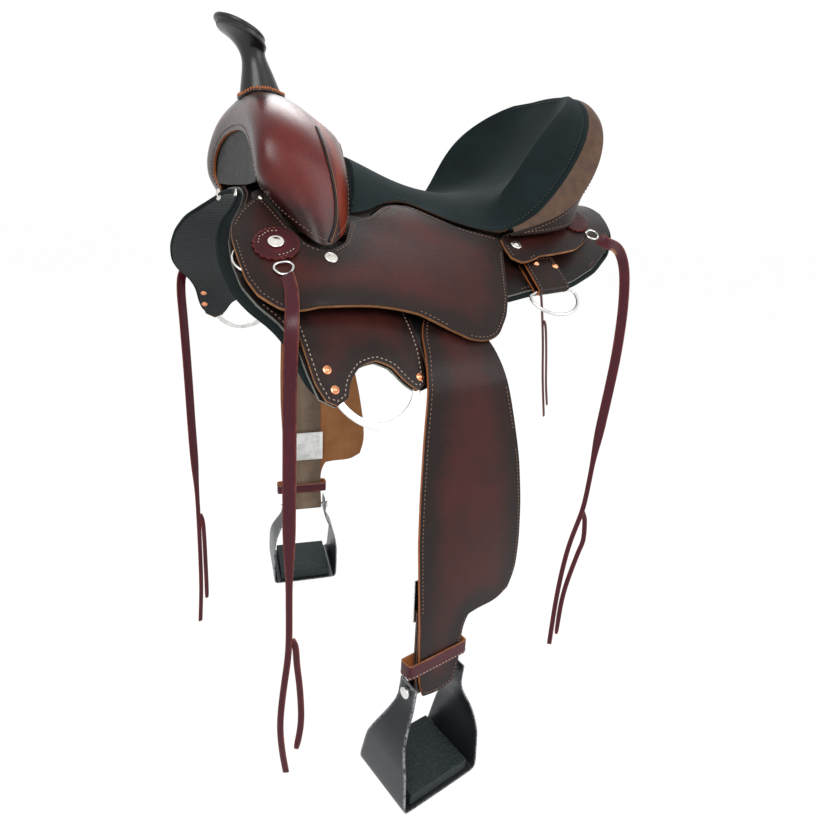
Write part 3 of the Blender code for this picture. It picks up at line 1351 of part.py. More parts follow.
REAR_STRING_NEAR = (
    (0.1658, 0.2610, -0.0033), (0.1722, 0.2655, -0.0078), (0.1748, 0.2760, -0.0116),
    (0.1700, 0.2940, -0.0160), (0.1640, 0.3120, -0.0270), (0.1600, 0.3270, -0.0480),
    (0.1580, 0.3360, -0.0780), (0.1580, 0.3405, -0.1260), (0.1575, 0.3400, -0.2000), (0.1560, 0.3320, -0.2960),
    (0.1545, 0.3270, -0.3600), (0.1540, 0.3235, -0.4200), (0.1520, 0.3195, -0.4690),
    (0.1500, 0.3004, -0.5373), (0.1500, 0.2890, -0.6286), (0.1500, 0.2860, -0.7350),
)
REAR_TAIL_NEAR = (
    (0.1515, 0.3248, -0.4780), (0.1500, 0.3325, -0.4980), (0.1500, 0.3345, -0.5300),
    (0.1500, 0.3247, -0.5570), (0.1500, 0.3037, -0.6325), (0.1500, 0.3000, -0.7170),
)
REAR_STRING_OFF = (
    (-0.1658, 0.2610, -0.0033), (-0.1722, 0.2655, -0.0078), (-0.1748, 0.2770, -0.0112),
    (-0.1690, 0.3040, -0.0130), (-0.1590, 0.3350, -0.0160), (-0.1480, 0.3640, -0.0280), (-0.1380, 0.3870, -0.0560),
    (-0.1320, 0.4020, -0.0950), (-0.1290, 0.4120, -0.1350), (-0.1280, 0.4220, -0.1900),
    (-0.1280, 0.4300, -0.2400), (-0.1290, 0.4400, -0.3100), (-0.1300, 0.4560, -0.3950),
)
REAR_TAIL_OFF = (
    (-0.1280, 0.4312, -0.1920), (-0.1280, 0.4405, -0.2500), (-0.1290, 0.4505, -0.3200),
    (-0.1300, 0.4612, -0.3700),
)
STRINGS = {
    "near": ((FRONT_STRING_NEAR, FRONT_TAIL_NEAR), (REAR_STRING_NEAR, REAR_TAIL_NEAR)),
    "off": ((FRONT_STRING_OFF, FRONT_TAIL_OFF), (REAR_STRING_OFF, REAR_TAIL_OFF)),
}
DRAWN_DEES = ((0.19939, -0.23400, -0.03683), (0.15009, 0.25099, 0.00499))


def make_strings(tag, side, dees):
    """Saddle strings, each moved with the dee that it hangs from."""
    for end, routes, drawn, dee in zip(("front", "rear"), STRINGS[tag], DRAWN_DEES, dees):
        start = Vector((drawn[0] * side, drawn[1], drawn[2]))
        make_string(f"{end}_string_{tag}", routes[0], start, dee)
        make_string(f"{end}_string_tail_{tag}", routes[1], start, dee)


def make_string(name, route, start, dee):
    """Round solid along the real run of a saddle string, spread with the side."""
    span = sum(math.dist(start, end) for start, end in zip(route, route[1:]))
    steps = max(1, round(span / (len(route) - 1) / (3 * 2 * STRING_RADIUS)))
    offsets = [Vector(point) - start for point in spline(route, steps)]
    points = [dee + Vector((offset.x * GRADE_X, offset.y, offset.z)) for offset in offsets]
    wire(name, points, STRING_RADIUS, LEATHER_BURGUNDY, resolution=2)


def main():
    clear_scene()
    for tag, side in SIDES:
        make_skirts(tag, side)
        make_rigging(tag, side)
        make_bars(tag, side)
        make_jockeys(tag, side)
        front_dee = make_front_fittings(tag, side)
        rear_dee = make_rear_fittings(tag, side)
        make_strings(tag, side, (front_dee, rear_dee))
        make_rear_ring(tag, side)
        make_breast_dee(tag, side)
        make_strap(tag, side)
        make_fender(tag, side)
        make_leather_buckle(tag, side)
        make_hobble(tag, side)
    make_stirrup("near", NEAR, 6.4)
    make_stirrup("off", OFF, -11.1)
    make_ground_seat()
    swell, fork = make_swell()
    make_gullet_panel()
    make_horn(swell, fork)
    make_seat()
    make_tree_cantle()
    make_cantle_cover()


main()
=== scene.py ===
import json
import math

import bmesh
import bpy
from mathutils import Matrix, Vector, kdtree
from mathutils.bvhtree import BVHTree

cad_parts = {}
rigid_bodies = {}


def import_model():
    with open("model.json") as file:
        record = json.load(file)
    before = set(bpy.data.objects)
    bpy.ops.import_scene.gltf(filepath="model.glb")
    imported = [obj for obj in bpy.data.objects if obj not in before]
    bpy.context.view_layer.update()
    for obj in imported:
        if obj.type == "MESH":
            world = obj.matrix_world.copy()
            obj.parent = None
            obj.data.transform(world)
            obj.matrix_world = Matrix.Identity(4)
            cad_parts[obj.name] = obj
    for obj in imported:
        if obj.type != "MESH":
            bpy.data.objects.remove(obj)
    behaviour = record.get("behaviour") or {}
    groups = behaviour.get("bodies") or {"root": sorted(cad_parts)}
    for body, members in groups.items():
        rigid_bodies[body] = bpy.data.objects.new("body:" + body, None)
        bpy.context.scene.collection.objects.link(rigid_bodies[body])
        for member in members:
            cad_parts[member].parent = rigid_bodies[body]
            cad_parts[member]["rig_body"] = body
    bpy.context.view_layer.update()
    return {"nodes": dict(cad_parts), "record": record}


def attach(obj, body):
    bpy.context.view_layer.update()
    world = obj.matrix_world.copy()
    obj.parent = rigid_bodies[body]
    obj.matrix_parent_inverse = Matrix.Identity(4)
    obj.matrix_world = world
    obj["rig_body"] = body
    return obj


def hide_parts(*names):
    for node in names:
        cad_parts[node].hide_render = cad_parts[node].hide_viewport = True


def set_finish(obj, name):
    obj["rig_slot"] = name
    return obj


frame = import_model()
NODES = frame["nodes"]
SIDES = (("near", 1), ("off", -1))


# Camera

CAMERA_PLACE = Vector((0.9051, -0.4563, 0.0278))
CAMERA_TURN = math.radians(28.51)
CAMERA_DIP = math.radians(17.40)
CAMERA_ROLL = math.radians(2.76)
PICTURE = 823
FOCAL_PIXELS = 645.0
MIDDLE_PIXEL = (403.26, 408.98)


def camera_axes():
    """Right, up and forward of the camera."""
    forward = Vector((
        -math.cos(CAMERA_TURN) * math.cos(CAMERA_DIP),
        math.sin(CAMERA_TURN) * math.cos(CAMERA_DIP),
        -math.sin(CAMERA_DIP),
    ))
    level = forward.cross(Vector((0, 0, 1))).normalized()
    rise = level.cross(forward)
    cosine, sine = math.cos(CAMERA_ROLL), math.sin(CAMERA_ROLL)
    return level * cosine + rise * sine, rise * cosine - level * sine, forward


RIGHT, UP, FORWARD = camera_axes()


def make_camera():
    """The photograph's camera."""
    data = bpy.data.cameras.new("camera")
    data.sensor_fit = "HORIZONTAL"
    data.sensor_width = 36.0
    data.lens = FOCAL_PIXELS / PICTURE * 36.0
    data.shift_x = (PICTURE / 2 - MIDDLE_PIXEL[0]) / PICTURE
    data.shift_y = (MIDDLE_PIXEL[1] - PICTURE / 2) / PICTURE
    data.clip_start = 0.02
    data.clip_end = 60.0
    item = bpy.data.objects.new("camera", data)
    bpy.context.scene.collection.objects.link(item)
    turn = Matrix((RIGHT, UP, -FORWARD)).transposed().to_4x4()
    item.matrix_world = Matrix.Translation(CAMERA_PLACE) @ turn
    bpy.context.scene.camera = item


def sight(px, py):
    """Direction in which the camera sees a pixel."""
    across = (px - MIDDLE_PIXEL[0]) / FOCAL_PIXELS
    down = (py - MIDDLE_PIXEL[1]) / FOCAL_PIXELS
    return (FORWARD + RIGHT * across - UP * down).normalized()


# Finishes

class Value:
    """A shader socket that takes part in sums."""

    def __init__(self, finish, socket):
        self.finish = finish
        self.socket = socket

    def _sum(self, operation, other, swapped=False):
        pair = (other, self) if swapped else (self, other)
        return self.finish.node("ShaderNodeMath", {"operation": operation}, {0: pair[0], 1: pair[1]})

    def __add__(self, other):
        return self._sum("ADD", other)

    def __radd__(self, other):
        return self._sum("ADD", other)

    def __sub__(self, other):
        return self._sum("SUBTRACT", other)

    def __rsub__(self, other):
        return self._sum("SUBTRACT", other, True)

    def __mul__(self, other):
        return self._sum("MULTIPLY", other)

    def __rmul__(self, other):
        return self._sum("MULTIPLY", other)

    def clipped(self):
        return self.finish.node("ShaderNodeMath", {"operation": "ADD", "use_clamp": True}, {0: self, 1: 0.0})


class Nodes:
    """A node tree that nodes are added to."""

    def __init__(self, tree):
        self.tree = tree

    def node(self, kind, settings=None, inputs=None, output=0):
        made = self.tree.nodes.new(kind)
        for name, value in (settings or {}).items():
            setattr(made, name, value)
        for key, value in (inputs or {}).items():
            self.feed(made.inputs[key], value)
        return None if output is None else Value(self, made.outputs[output])

    def feed(self, socket, value):
        if isinstance(value, Value):
            self.tree.links.new(value.socket, socket)
        elif isinstance(value, (tuple, list)) and len(value) == 3 and socket.type == "RGBA":
            socket.default_value = (*value, 1.0)
        else:
            socket.default_value = value

    def background_rays(self):
        """1 where a ray sees the background directly, in a mirror or through glass."""
        flags = [
            self.node("ShaderNodeLightPath", output=f"Is {kind} Ray")
            for kind in ("Camera", "Glossy", "Transmission")
        ]
        return (flags[0] + flags[1] + flags[2]).clipped()


class Finish(Nodes):
    """One procedural material."""

    def __init__(self, name):
        self.material = bpy.data.materials.new(name)
        self.material.use_nodes = True
        super().__init__(self.material.node_tree)
        self.shader = self.tree.nodes["Principled BSDF"]
        self.place = self.node("ShaderNodeTexCoord", output="Object")

    def set(self, **sockets):
        for name, value in sockets.items():
            self.feed(self.shader.inputs[name.replace("_", " ")], value)

    def noise(self, scale, detail=2.0, rough=0.5, where=None):
        return self.node(
            "ShaderNodeTexNoise", None,
            {"Vector": where or self.place, "Scale": scale, "Detail": detail, "Roughness": rough},
        )

    def cells(self, scale):
        return self.node("ShaderNodeTexVoronoi", None, {"Vector": self.place, "Scale": scale})

    def mix(self, factor, first, second):
        return self.node(
            "ShaderNodeMix", {"data_type": "RGBA"}, {0: factor, 6: first, 7: second}, 2,
        )

    def spread(self, value, low, high, to_low=0.0, to_high=1.0):
        return self.node(
            "ShaderNodeMapRange", {"interpolation_type": "SMOOTHSTEP"},
            {0: value, 1: low, 2: high, 3: to_low, 4: to_high},
        )

    def bump(self, height, strength, distance):
        inputs = {"Strength": strength, "Distance": distance, "Height": height}
        self.set(Normal=self.node("ShaderNodeBump", None, inputs))

    def inland(self):
        """0 at a piece's rim, 1 well inside it."""
        return self.node("ShaderNodeAttribute", {"attribute_name": "inland"}, None, "Fac")


PEBBLE = 620.0


def leather_finish(name, deep, warm, rim, rough=0.42, coat=0.06, centre=0.8, wear=0.35):
    """Oiled leather: pebbled grain, warm in the middle of a panel, dark round its rim."""
    f = Finish(name)
    cloud = f.noise(11.0, 3.0, 0.6)
    mottle = f.noise(85.0, 4.0, 0.65)
    inland = f.inland()
    warmth = f.spread(inland, 0.05, 0.95) * centre - 0.12 + (cloud - 0.5) * 1.5 + (mottle - 0.5) * 0.5
    tint = f.mix(warmth.clipped(), deep, warm)
    edge = f.spread(inland + (mottle - 0.5) * 0.05, 0.0, 0.06, wear, 0.0)
    tint = f.mix(edge, tint, rim)
    pore = f.cells(PEBBLE * 1.9)
    f.tint = f.mix(f.spread(pore, 0.05, 0.35, 0.35, 0.0), tint, tuple(0.45 * c for c in deep))
    f.set(Base_Color=f.tint, Roughness=(mottle - 0.5) * 0.28 + (cloud - 0.5) * 0.2 + rough)
    f.set(Coat_Weight=coat, Coat_Roughness=0.30, Specular_IOR_Level=0.18)
    crease = f.noise(46.0, 5.0, 0.7)
    f.bump(f.cells(PEBBLE) * 0.55 + f.noise(2100.0, 2.0) * 0.25 + crease * 0.8, 0.42, 0.0007)
    return f


def grain_leather(name, deep, warm, rim, **options):
    return leather_finish(name, deep, warm, rim, **options).material


WELT_Y = -0.152


def swell_leather(name, deep, warm, rim, **options):
    """Grain leather that is orange-red behind the welt, with painted shade darkening its top under the
    horn's cap.
    """
    f = leather_finish(name, deep, warm, rim, **options)
    parts = f.node("ShaderNodeSeparateXYZ", None, {"Vector": f.place})
    along = Value(f, parts.socket.node.outputs["Y"])
    height = Value(f, parts.socket.node.outputs["Z"])
    cloud = f.noise(30.0, 3.0)
    behind = f.spread(along + (cloud - 0.5) * 0.004, WELT_Y, WELT_Y + 0.003)
    far_back = f.spread(along, WELT_Y + 0.010, WELT_Y + 0.022)
    strip = f.mix(far_back, (0.190, 0.022, 0.007), (0.060, 0.011, 0.007))
    tint = f.mix(behind, f.tint, strip)
    # Painted shade: the swell's top darkens towards the horn, under its cap, where shade falls.
    high = f.spread(height + (cloud - 0.5) * 0.02, 0.128, 0.152)
    f.set(Base_Color=f.mix(high * 0.85, tint, (0.014, 0.0075, 0.0065)))
    return f.material


def suede(name, deep, pale, sheen):
    """Brushed leather or felt with a short nap that lies in patches."""
    f = Finish(name)
    patch = f.noise(16.0, 4.0, 0.6)
    fine = f.noise(1500.0, 3.0, 0.7)
    tint = f.mix(((patch - 0.5) * 1.5 + (fine - 0.5) * 0.9 + 0.45).clipped(), deep, pale)
    f.set(Base_Color=tint, Roughness=0.92, Specular_IOR_Level=0.22)
    f.set(Sheen_Weight=sheen, Sheen_Roughness=0.45, Sheen_Tint=(*pale, 1.0))
    f.bump(fine * 0.7 + patch * 0.9, 0.35, 0.0006)
    return f.material


def cut_edge(name, deep, pale):
    """Raw edge of a leather layer: fibres along it, burnished in places."""
    f = Finish(name)
    rub = f.noise(70.0, 4.0, 0.6)
    fibre = f.noise(1800.0, 3.0, 0.7)
    tint = f.mix((rub * 1.3 + (fibre - 0.5) * 0.7 - 0.1).clipped(), deep, pale)
    f.set(Base_Color=tint, Roughness=(fibre - 0.5) * 0.2 + 0.62, Specular_IOR_Level=0.35)
    f.bump(fibre, 0.3, 0.0004)
    return f.material


def knit(name, deep, pale):
    """Padded lining cloth: rows of small knitted loops."""
    f = Finish(name)
    wave_a = f.node(
        "ShaderNodeTexWave", {"wave_type": "BANDS", "bands_direction": "Y"},
        {"Vector": f.place, "Scale": 95.0, "Distortion": 1.4, "Detail": 1.0},
    )
    wave_b = f.node(
        "ShaderNodeTexWave", {"wave_type": "BANDS", "bands_direction": "Z"},
        {"Vector": f.place, "Scale": 80.0, "Distortion": 1.4, "Detail": 1.0},
    )
    loops = wave_a * wave_b
    tint = f.mix((loops * 0.8 + (f.noise(14.0, 3.0) - 0.5) * 0.8 + 0.1).clipped(), deep, pale)
    f.set(Base_Color=tint, Roughness=0.78, Specular_IOR_Level=0.3, Sheen_Weight=0.2)
    f.bump(loops * 0.8 + f.noise(900.0, 2.0) * 0.3, 0.5, 0.0009)
    return f.material


def metal(name, tint, rough, dull):
    """Polished hardware with handling marks and a little tarnish in patches."""
    f = Finish(name)
    cloud = f.noise(60.0, 4.0, 0.6)
    fine = f.noise(700.0, 3.0, 0.7)
    colour = f.mix((f.spread(cloud, 0.45, 0.75) * 0.7).clipped(), tint, dull)
    f.set(Base_Color=colour, Metallic=1.0)
    f.set(Roughness=(cloud - 0.5) * 0.25 + (fine - 0.5) * 0.15 + rough)
    f.bump(fine * 0.5 + cloud * 0.5, 0.15, 0.0003)
    return f.material


def worn_black_metal(name):
    """Black anodised plate, rubbed bare along its rims."""
    f = Finish(name)
    rub = f.noise(130.0, 5.0, 0.65)
    inland = f.inland()
    bare = f.spread(inland + (rub - 0.5) * 0.30, 0.0, 0.09, 1.0, 0.0)
    bare = (bare * f.spread(rub, 0.38, 0.60)).clipped()
    smear = f.noise(18.0, 3.0)
    black = f.mix(smear, (0.012, 0.013, 0.015), (0.035, 0.038, 0.044))
    f.set(Base_Color=f.mix(bare, black, (0.52, 0.53, 0.55)))
    f.set(Metallic=bare * 0.6 + 0.4, Roughness=(smear - 0.5) * 0.2 + (rub - 0.5) * 0.1 + 0.36)
    f.bump(rub, 0.12, 0.0004)
    return f.material


def tread_rubber(name):
    """Rough, pitted rubber."""
    f = Finish(name)
    lump = f.cells(230.0)
    grit = f.noise(900.0, 4.0, 0.7)
    tint = f.mix((lump * 0.9 + (grit - 0.5) * 0.8).clipped(), (0.004, 0.008, 0.009), (0.022, 0.034, 0.034))
    f.set(Base_Color=tint, Roughness=(grit - 0.5) * 0.3 + 0.72, Specular_IOR_Level=0.35)
    f.bump(lump * 0.9 + grit * 0.5, 0.9, 0.0016)
    return f.material


def plain_wood(name):
    """Dark lacquered wood, its grain along the horse."""
    f = Finish(name)
    stretched = f.node("ShaderNodeMapping", None, {"Vector": f.place, "Scale": (40.0, 5.0, 40.0)})
    ring = f.noise(3.0, 5.0, 0.6, stretched)
    f.set(Base_Color=f.mix(ring, (0.010, 0.008, 0.007), (0.034, 0.024, 0.018)), Roughness=ring * 0.3 + 0.45)
    f.bump(ring, 0.2, 0.0006)
    return f.material


def waxed_thread(name, deep, pale):
    """Sewing thread with a slight ply."""
    f = Finish(name)
    ply = f.noise(1400.0, 2.0)
    f.set(Base_Color=f.mix(ply, deep, pale), Roughness=(ply - 0.5) * 0.2 + 0.6)
    f.bump(ply, 0.3, 0.0002)
    return f.material


BROWN_DEEP = (0.0115, 0.0052, 0.0042)
BROWN_WARM = (0.056, 0.0105, 0.0080)
BROWN_RIM = (0.020, 0.008, 0.005)
BROWN = grain_leather("brown_leather", BROWN_DEEP, BROWN_WARM, BROWN_RIM)
SKIRT_BROWN = grain_leather("skirt_leather", (0.0075, 0.0050, 0.0046), (0.030, 0.0095, 0.0075), BROWN_RIM)
OXBLOOD = swell_leather(
    "oxblood_leather", (0.020, 0.0052, 0.0045), (0.130, 0.012, 0.010), (0.040, 0.010, 0.007),
    rough=0.32, coat=0.30, centre=0.9,
)
CANTLE_BROWN = grain_leather("cantle_leather", (0.013, 0.0055, 0.0042), (0.072, 0.018, 0.012), BROWN_RIM)
BLACK = grain_leather(
    "horn_leather", (0.0045, 0.0045, 0.0048), (0.014, 0.011, 0.011), (0.020, 0.014, 0.012),
    rough=0.30, coat=0.45, wear=0.2,
)
DARK_PANEL = grain_leather(
    "gullet_leather", (0.006, 0.0075, 0.008), (0.018, 0.018, 0.018), BROWN_RIM, rough=0.5,
)
BURGUNDY = grain_leather(
    "burgundy_leather", (0.055, 0.003, 0.009), (0.175, 0.008, 0.028), (0.260, 0.060, 0.035),
    rough=0.40, coat=0.2, centre=0.5, wear=0.5,
)
ROSETTE_RED = grain_leather(
    "rosette_leather", (0.040, 0.004, 0.007), (0.150, 0.010, 0.018), (0.16, 0.03, 0.02),
)
TAN = grain_leather(
    "strap_leather", (0.120, 0.080, 0.055), (0.270, 0.195, 0.140), (0.16, 0.09, 0.05), rough=0.6,
)
FLESH = suede("flesh_side", (0.190, 0.070, 0.022), (0.400, 0.185, 0.075), sheen=0.1)
FLESH_DARK = suede("dark_flesh_side", (0.050, 0.026, 0.014), (0.150, 0.080, 0.040), sheen=0.1)
SEAT = suede("seat_suede", (0.0030, 0.0060, 0.0068), (0.010, 0.020, 0.022), sheen=0.2)
EDGE_TAN = cut_edge("tan_cut_edge", (0.130, 0.046, 0.018), (0.480, 0.215, 0.085))
EDGE_DARK = cut_edge("dark_cut_edge", (0.020, 0.010, 0.007), (0.120, 0.060, 0.032))
# Painted highlight: the skirt's cut edge is pale grey-teal where its rim catches the light.
SKIRT_EDGE_HIGHLIGHT = cut_edge("skirt_edge_painted_highlight", (0.100, 0.095, 0.080), (0.330, 0.340, 0.300))
EDGE_ORANGE = cut_edge("orange_cut_edge", (0.240, 0.060, 0.015), (0.520, 0.170, 0.050))
KNIT = knit("lining_knit", (0.0025, 0.005, 0.0055), (0.016, 0.027, 0.028))
BINDING = suede("lining_binding", (0.003, 0.005, 0.0055), (0.012, 0.019, 0.020), sheen=0.2)
STEEL = metal("stainless_steel", (0.74, 0.75, 0.73), 0.22, (0.42, 0.41, 0.38))
NICKEL = metal("nickel", (0.80, 0.78, 0.72), 0.20, (0.50, 0.47, 0.40))
COPPER = metal("copper", (0.80, 0.34, 0.18), 0.30, (0.36, 0.15, 0.08))
PLATE = worn_black_metal("stirrup_plate")
RUBBER = tread_rubber("tread_rubber")
WOOD = plain_wood("tree_wood")
STRAINER = metal("strainer_steel", (0.42, 0.42, 0.42), 0.45, (0.25, 0.20, 0.16))
THREAD = waxed_thread("tan_thread", (0.100, 0.055, 0.038), (0.250, 0.150, 0.105))
DARK_THREAD = waxed_thread("dark_thread", (0.006, 0.006, 0.006), (0.030, 0.030, 0.028))
PALE_THREAD = waxed_thread("pale_thread", (0.260, 0.190, 0.140), (0.520, 0.420, 0.330))


# Making pieces

def settled(name, mesh, materials, body, slot, levels=0):
    """Object from a mesh, with its subdivision applied, riding on its body."""
    item = bpy.data.objects.new(name, mesh)
    bpy.context.scene.collection.objects.link(item)
    if levels:
        smooth = item.modifiers.new("Smooth", "SUBSURF")
        smooth.levels = smooth.render_levels = levels
        item.data = bpy.data.meshes.new_from_object(
            item.evaluated_get(bpy.context.evaluated_depsgraph_get())
        )
        item.modifiers.clear()
    item.data.name = name
    kinds = [polygon.material_index for polygon in item.data.polygons]
    item.data.materials.clear()
    for material in materials:
        item.data.materials.append(material)
    item.data.polygons.foreach_set("material_index", kinds)
    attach(item, body)
    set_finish(item, slot)
    return item


def finished(name, bm, materials, body, slot, levels=0):
    """Smooth-shaded object from a bmesh."""
    for face in bm.faces:
        face.smooth = True
    mesh = bpy.data.meshes.new(name)
    bm.to_mesh(mesh)
    bm.free()
    return settled(name, mesh, materials, body, slot, levels)


def merged_copy(node):
    """Mesh of a CAD node with its seams closed and its triangles paired."""
    bm = bmesh.new()
    bm.from_mesh(NODES[node].data)
    bmesh.ops.remove_doubles(bm, verts=bm.verts, dist=2e-5)
    bmesh.ops.join_triangles(
        bm, faces=bm.faces, angle_face_threshold=math.radians(14), angle_shape_threshold=math.radians(70),
    )
    return bm


def sort_faces(bm, limit, outward):
    """Number the faces: 0 grain side, 1 rim, 2 flesh side. Returns the sharp edges."""
    sharp = set(
        edge for edge in bm.edges
        if len(edge.link_faces) == 2 and edge.calc_face_angle(0.0) > limit
    )
    groups = []
    seen = set()
    for face in bm.faces:
        if face in seen:
            continue
        group, queue = [], [face]
        seen.add(face)
        while queue:
            here = queue.pop()
            group.append(here)
            for edge in here.edges:
                if edge in sharp:
                    continue
                for other in edge.link_faces:
                    if other not in seen:
                        seen.add(other)
                        queue.append(other)
        groups.append(group)
    groups.sort(key=lambda group: -sum(face.calc_area() for face in group))
    if outward is not None and len(groups) > 1:
        def facing(group):
            return sum((face.normal * face.calc_area() for face in group), Vector()).dot(outward)
        if facing(groups[1]) > facing(groups[0]):
            groups[0], groups[1] = groups[1], groups[0]
    for index, group in enumerate(groups):
        for face in group:
            face.material_index = 0 if index == 0 else 2 if index == 1 else 1
    return sharp


def rim_points(mesh):
    """Closed loops of points between the grain side and the rim, longest first."""
    kinds = {}
    for polygon in mesh.polygons:
        for key in polygon.edge_keys:
            kinds.setdefault(key, []).append(polygon.material_index)
    ways = {}
    for (a, b), found in kinds.items():
        if len(found) == 2 and 0 in found and found[0] != found[1]:
            ways.setdefault(a, []).append(b)
            ways.setdefault(b, []).append(a)
    loops = []
    while ways:
        start = next(iter(ways))
        loop, here = [start], start
        while ways.get(here):
            following = ways[here].pop()
            ways[following].remove(here)
            if not ways[here]:
                del ways[here]
            here = following
            if here == start:
                break
            loop.append(here)
        for key in [k for k, v in ways.items() if not v]:
            del ways[key]
        if len(loop) > 8:
            loops.append([mesh.vertices[index].co.copy() for index in loop])
    return sorted(loops, key=len, reverse=True)


def spaced(points, step, closed=True):
    """The same line with points at even steps."""
    run = points + points[:1] if closed else points
    out, carry = [], 0.0
    for start, end in zip(run, run[1:]):
        length = (end - start).length
        while carry < length:
            out.append(start.lerp(end, carry / length))
            carry += step
        carry -= length
    return out


def tree_of(points):
    """Search tree over points."""
    tree = kdtree.KDTree(len(points))
    for index, point in enumerate(points):
        tree.insert(point, index)
    tree.balance()
    return tree


REACH = 0.050


def mark_inland(item):
    """Write on each point how far inside its panel it lies."""
    rim = [point for loop in rim_points(item.data) for point in spaced(loop, 0.004)]
    marks = item.data.attributes.new("inland", "FLOAT", "POINT")
    if not rim:
        marks.data.foreach_set("value", [1.0] * len(item.data.vertices))
        return
    tree = tree_of(rim)
    marks.data.foreach_set(
        "value", [min(1.0, tree.find(vertex.co)[2] / REACH) for vertex in item.data.vertices],
    )


def worked(node, materials, bevel, levels=2, limit=38.0, outward=None):
    """Finer piece that stands for a CAD node, with its rims rounded."""
    source = NODES[node]
    bm = merged_copy(node)
    sharp = sort_faces(bm, math.radians(limit), outward)
    if bevel and sharp:
        bmesh.ops.bevel(
            bm, geom=list(sharp), offset=bevel, offset_type="OFFSET", segments=2, profile=0.5,
            affect="EDGES", clamp_overlap=True, material=-1, loop_slide=True,
        )
    slot = next(part["material_slot"] for part in frame["record"]["subparts"] if part["node"] == node)
    item = finished(node + "_made", bm, materials, source["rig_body"], slot, levels)
    mark_inland(item)
    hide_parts(node)
    return item


def surface(item):
    """Search tree over a piece's grain side."""
    mesh = item.data
    faces = [tuple(p.vertices) for p in mesh.polygons if p.material_index == 0]
    return BVHTree.FromPolygons([vertex.co for vertex in mesh.vertices], faces)


RIM_STEP = 0.002
STITCH_CLEARANCE = 0.86
ROW_BREAK = 0.008


def rows_inside(item, inset):
    """Runs of (point, normal) along the grain side, an even distance in from its rim."""
    loops = rim_points(item.data)
    if not loops:
        return []
    rim = spaced(loops[0], RIM_STEP)
    face = surface(item)
    tree = tree_of([point for loop in loops for point in spaced(loop, RIM_STEP)])
    count = len(rim)
    trials = {1: [], -1: []}
    for index, point in enumerate(rim):
        tangent = (rim[(index + 2) % count] - rim[index - 2]).normalized()
        normal = face.find_nearest(point)[1]
        across = normal.cross(tangent).normalized()
        for sign in (1, -1):
            trials[sign].append(point + across * inset * sign)
    misses = {sign: sum(face.find_nearest(p)[3] for p in trials[sign]) for sign in trials}
    best = min(misses, key=misses.get)
    runs, run, last = [], [], None
    for trial in trials[best]:
        spot, normal, _, _ = face.find_nearest(trial)
        if tree.find(spot)[2] < inset * STITCH_CLEARANCE:
            continue
        if last is not None and (spot - last).length > ROW_BREAK:
            runs.append(run)
            run = []
        run.append((spot, normal))
        last = spot
    runs.append(run)
    return [r for r in runs if len(r) > 4]


def stitch_mesh():
    """One stitch of unit size, along X."""
    bm = bmesh.new()
    bmesh.ops.create_uvsphere(bm, u_segments=6, v_segments=4, radius=1.0)
    bmesh.ops.rotate(bm, verts=bm.verts, matrix=Matrix.Rotation(math.pi / 2, 3, "Y"))
    mesh = bpy.data.meshes.new("stitch")
    bm.to_mesh(mesh)
    bm.free()
    return mesh


STITCH_MESH = stitch_mesh()
STITCH_LIFT = 0.0003


def stitches(name, runs, body, slot, material, pitch=0.0056, length=0.0034, thick=0.00075):
    """Row of sewn stitches along runs of (point, normal)."""
    bm = bmesh.new()
    for run in runs:
        carry = pitch / 2
        for (start, normal), (end, _) in zip(run, run[1:]):
            span = (end - start).length
            while carry < span:
                along = (end - start).normalized()
                side = normal.cross(along).normalized()
                turn = Matrix((along, side, normal)).transposed().to_4x4()
                place = Matrix.Translation(start + along * carry + normal * STITCH_LIFT) @ turn
                place = place @ Matrix.Diagonal((length / 2, thick, thick, 1))
                STITCH_MESH.transform(place)
                bm.from_mesh(STITCH_MESH)
                STITCH_MESH.transform(place.inverted())
                carry += pitch
            carry -= span
    if bm.faces:
        finished(name, bm, [material], body, slot)
    else:
        bm.free()


def turned(profile, segments, place):
    """Round piece spun from a profile of (radius, height), put in its place."""
    bm = bmesh.new()
    points = [bm.verts.new((radius, 0.0, height)) for radius, height in profile]
    edges = [bm.edges.new(pair) for pair in zip(points, points[1:])]
    bmesh.ops.spin(
        bm, geom=points + edges, cent=(0, 0, 0), axis=(0, 0, 1), angle=2 * math.pi, steps=segments,
        use_merge=True,
    )
    bmesh.ops.remove_doubles(bm, verts=bm.verts, dist=1e-6)
    bmesh.ops.recalc_face_normals(bm, faces=bm.faces)
    bmesh.ops.transform(bm, verts=bm.verts, matrix=place)
    return bm


def standing(spot, normal):
    """Placement with Z along a normal."""
    return Matrix.Translation(spot) @ normal.to_track_quat("Z", "Y").to_matrix().to_4x4()


RIVET = (
    (0.0, 0.0024), (0.0016, 0.0023), (0.0024, 0.0018), (0.0026, 0.0011), (0.0044, 0.0010), (0.0050, 0.0006),
    (0.0050, -0.0004), (0.0, -0.0004),
)
NAIL = ((0.0, 0.0026), (0.0020, 0.0023), (0.0034, 0.0014), (0.0040, 0.0), (0.0, -0.0003))
SMALL_CONCHO = (
    (0.0, 0.0034), (0.0022, 0.0030), (0.0040, 0.0018), (0.0055, 0.0016), (0.0070, 0.0022), (0.0080, 0.0014),
    (0.0082, 0.0), (0.0, -0.0003),
)


STUD_SEGMENTS = 20


def stud(name, profile, spot, normal, material):
    """Rivet, nail or concho on the saddle."""
    finished(name, turned(profile, STUD_SEGMENTS, standing(spot, normal)), [material], "saddle", "nickel")


def join_rings(bm, pairs):
    """Skin between pairs of rings of points."""
    for first, second in pairs:
        edges = set(e for v in first for e in v.link_edges if e.other_vert(v) in first)
        edges |= set(e for v in second for e in v.link_edges if e.other_vert(v) in second)
        bmesh.ops.bridge_loops(bm, edges=list(edges))


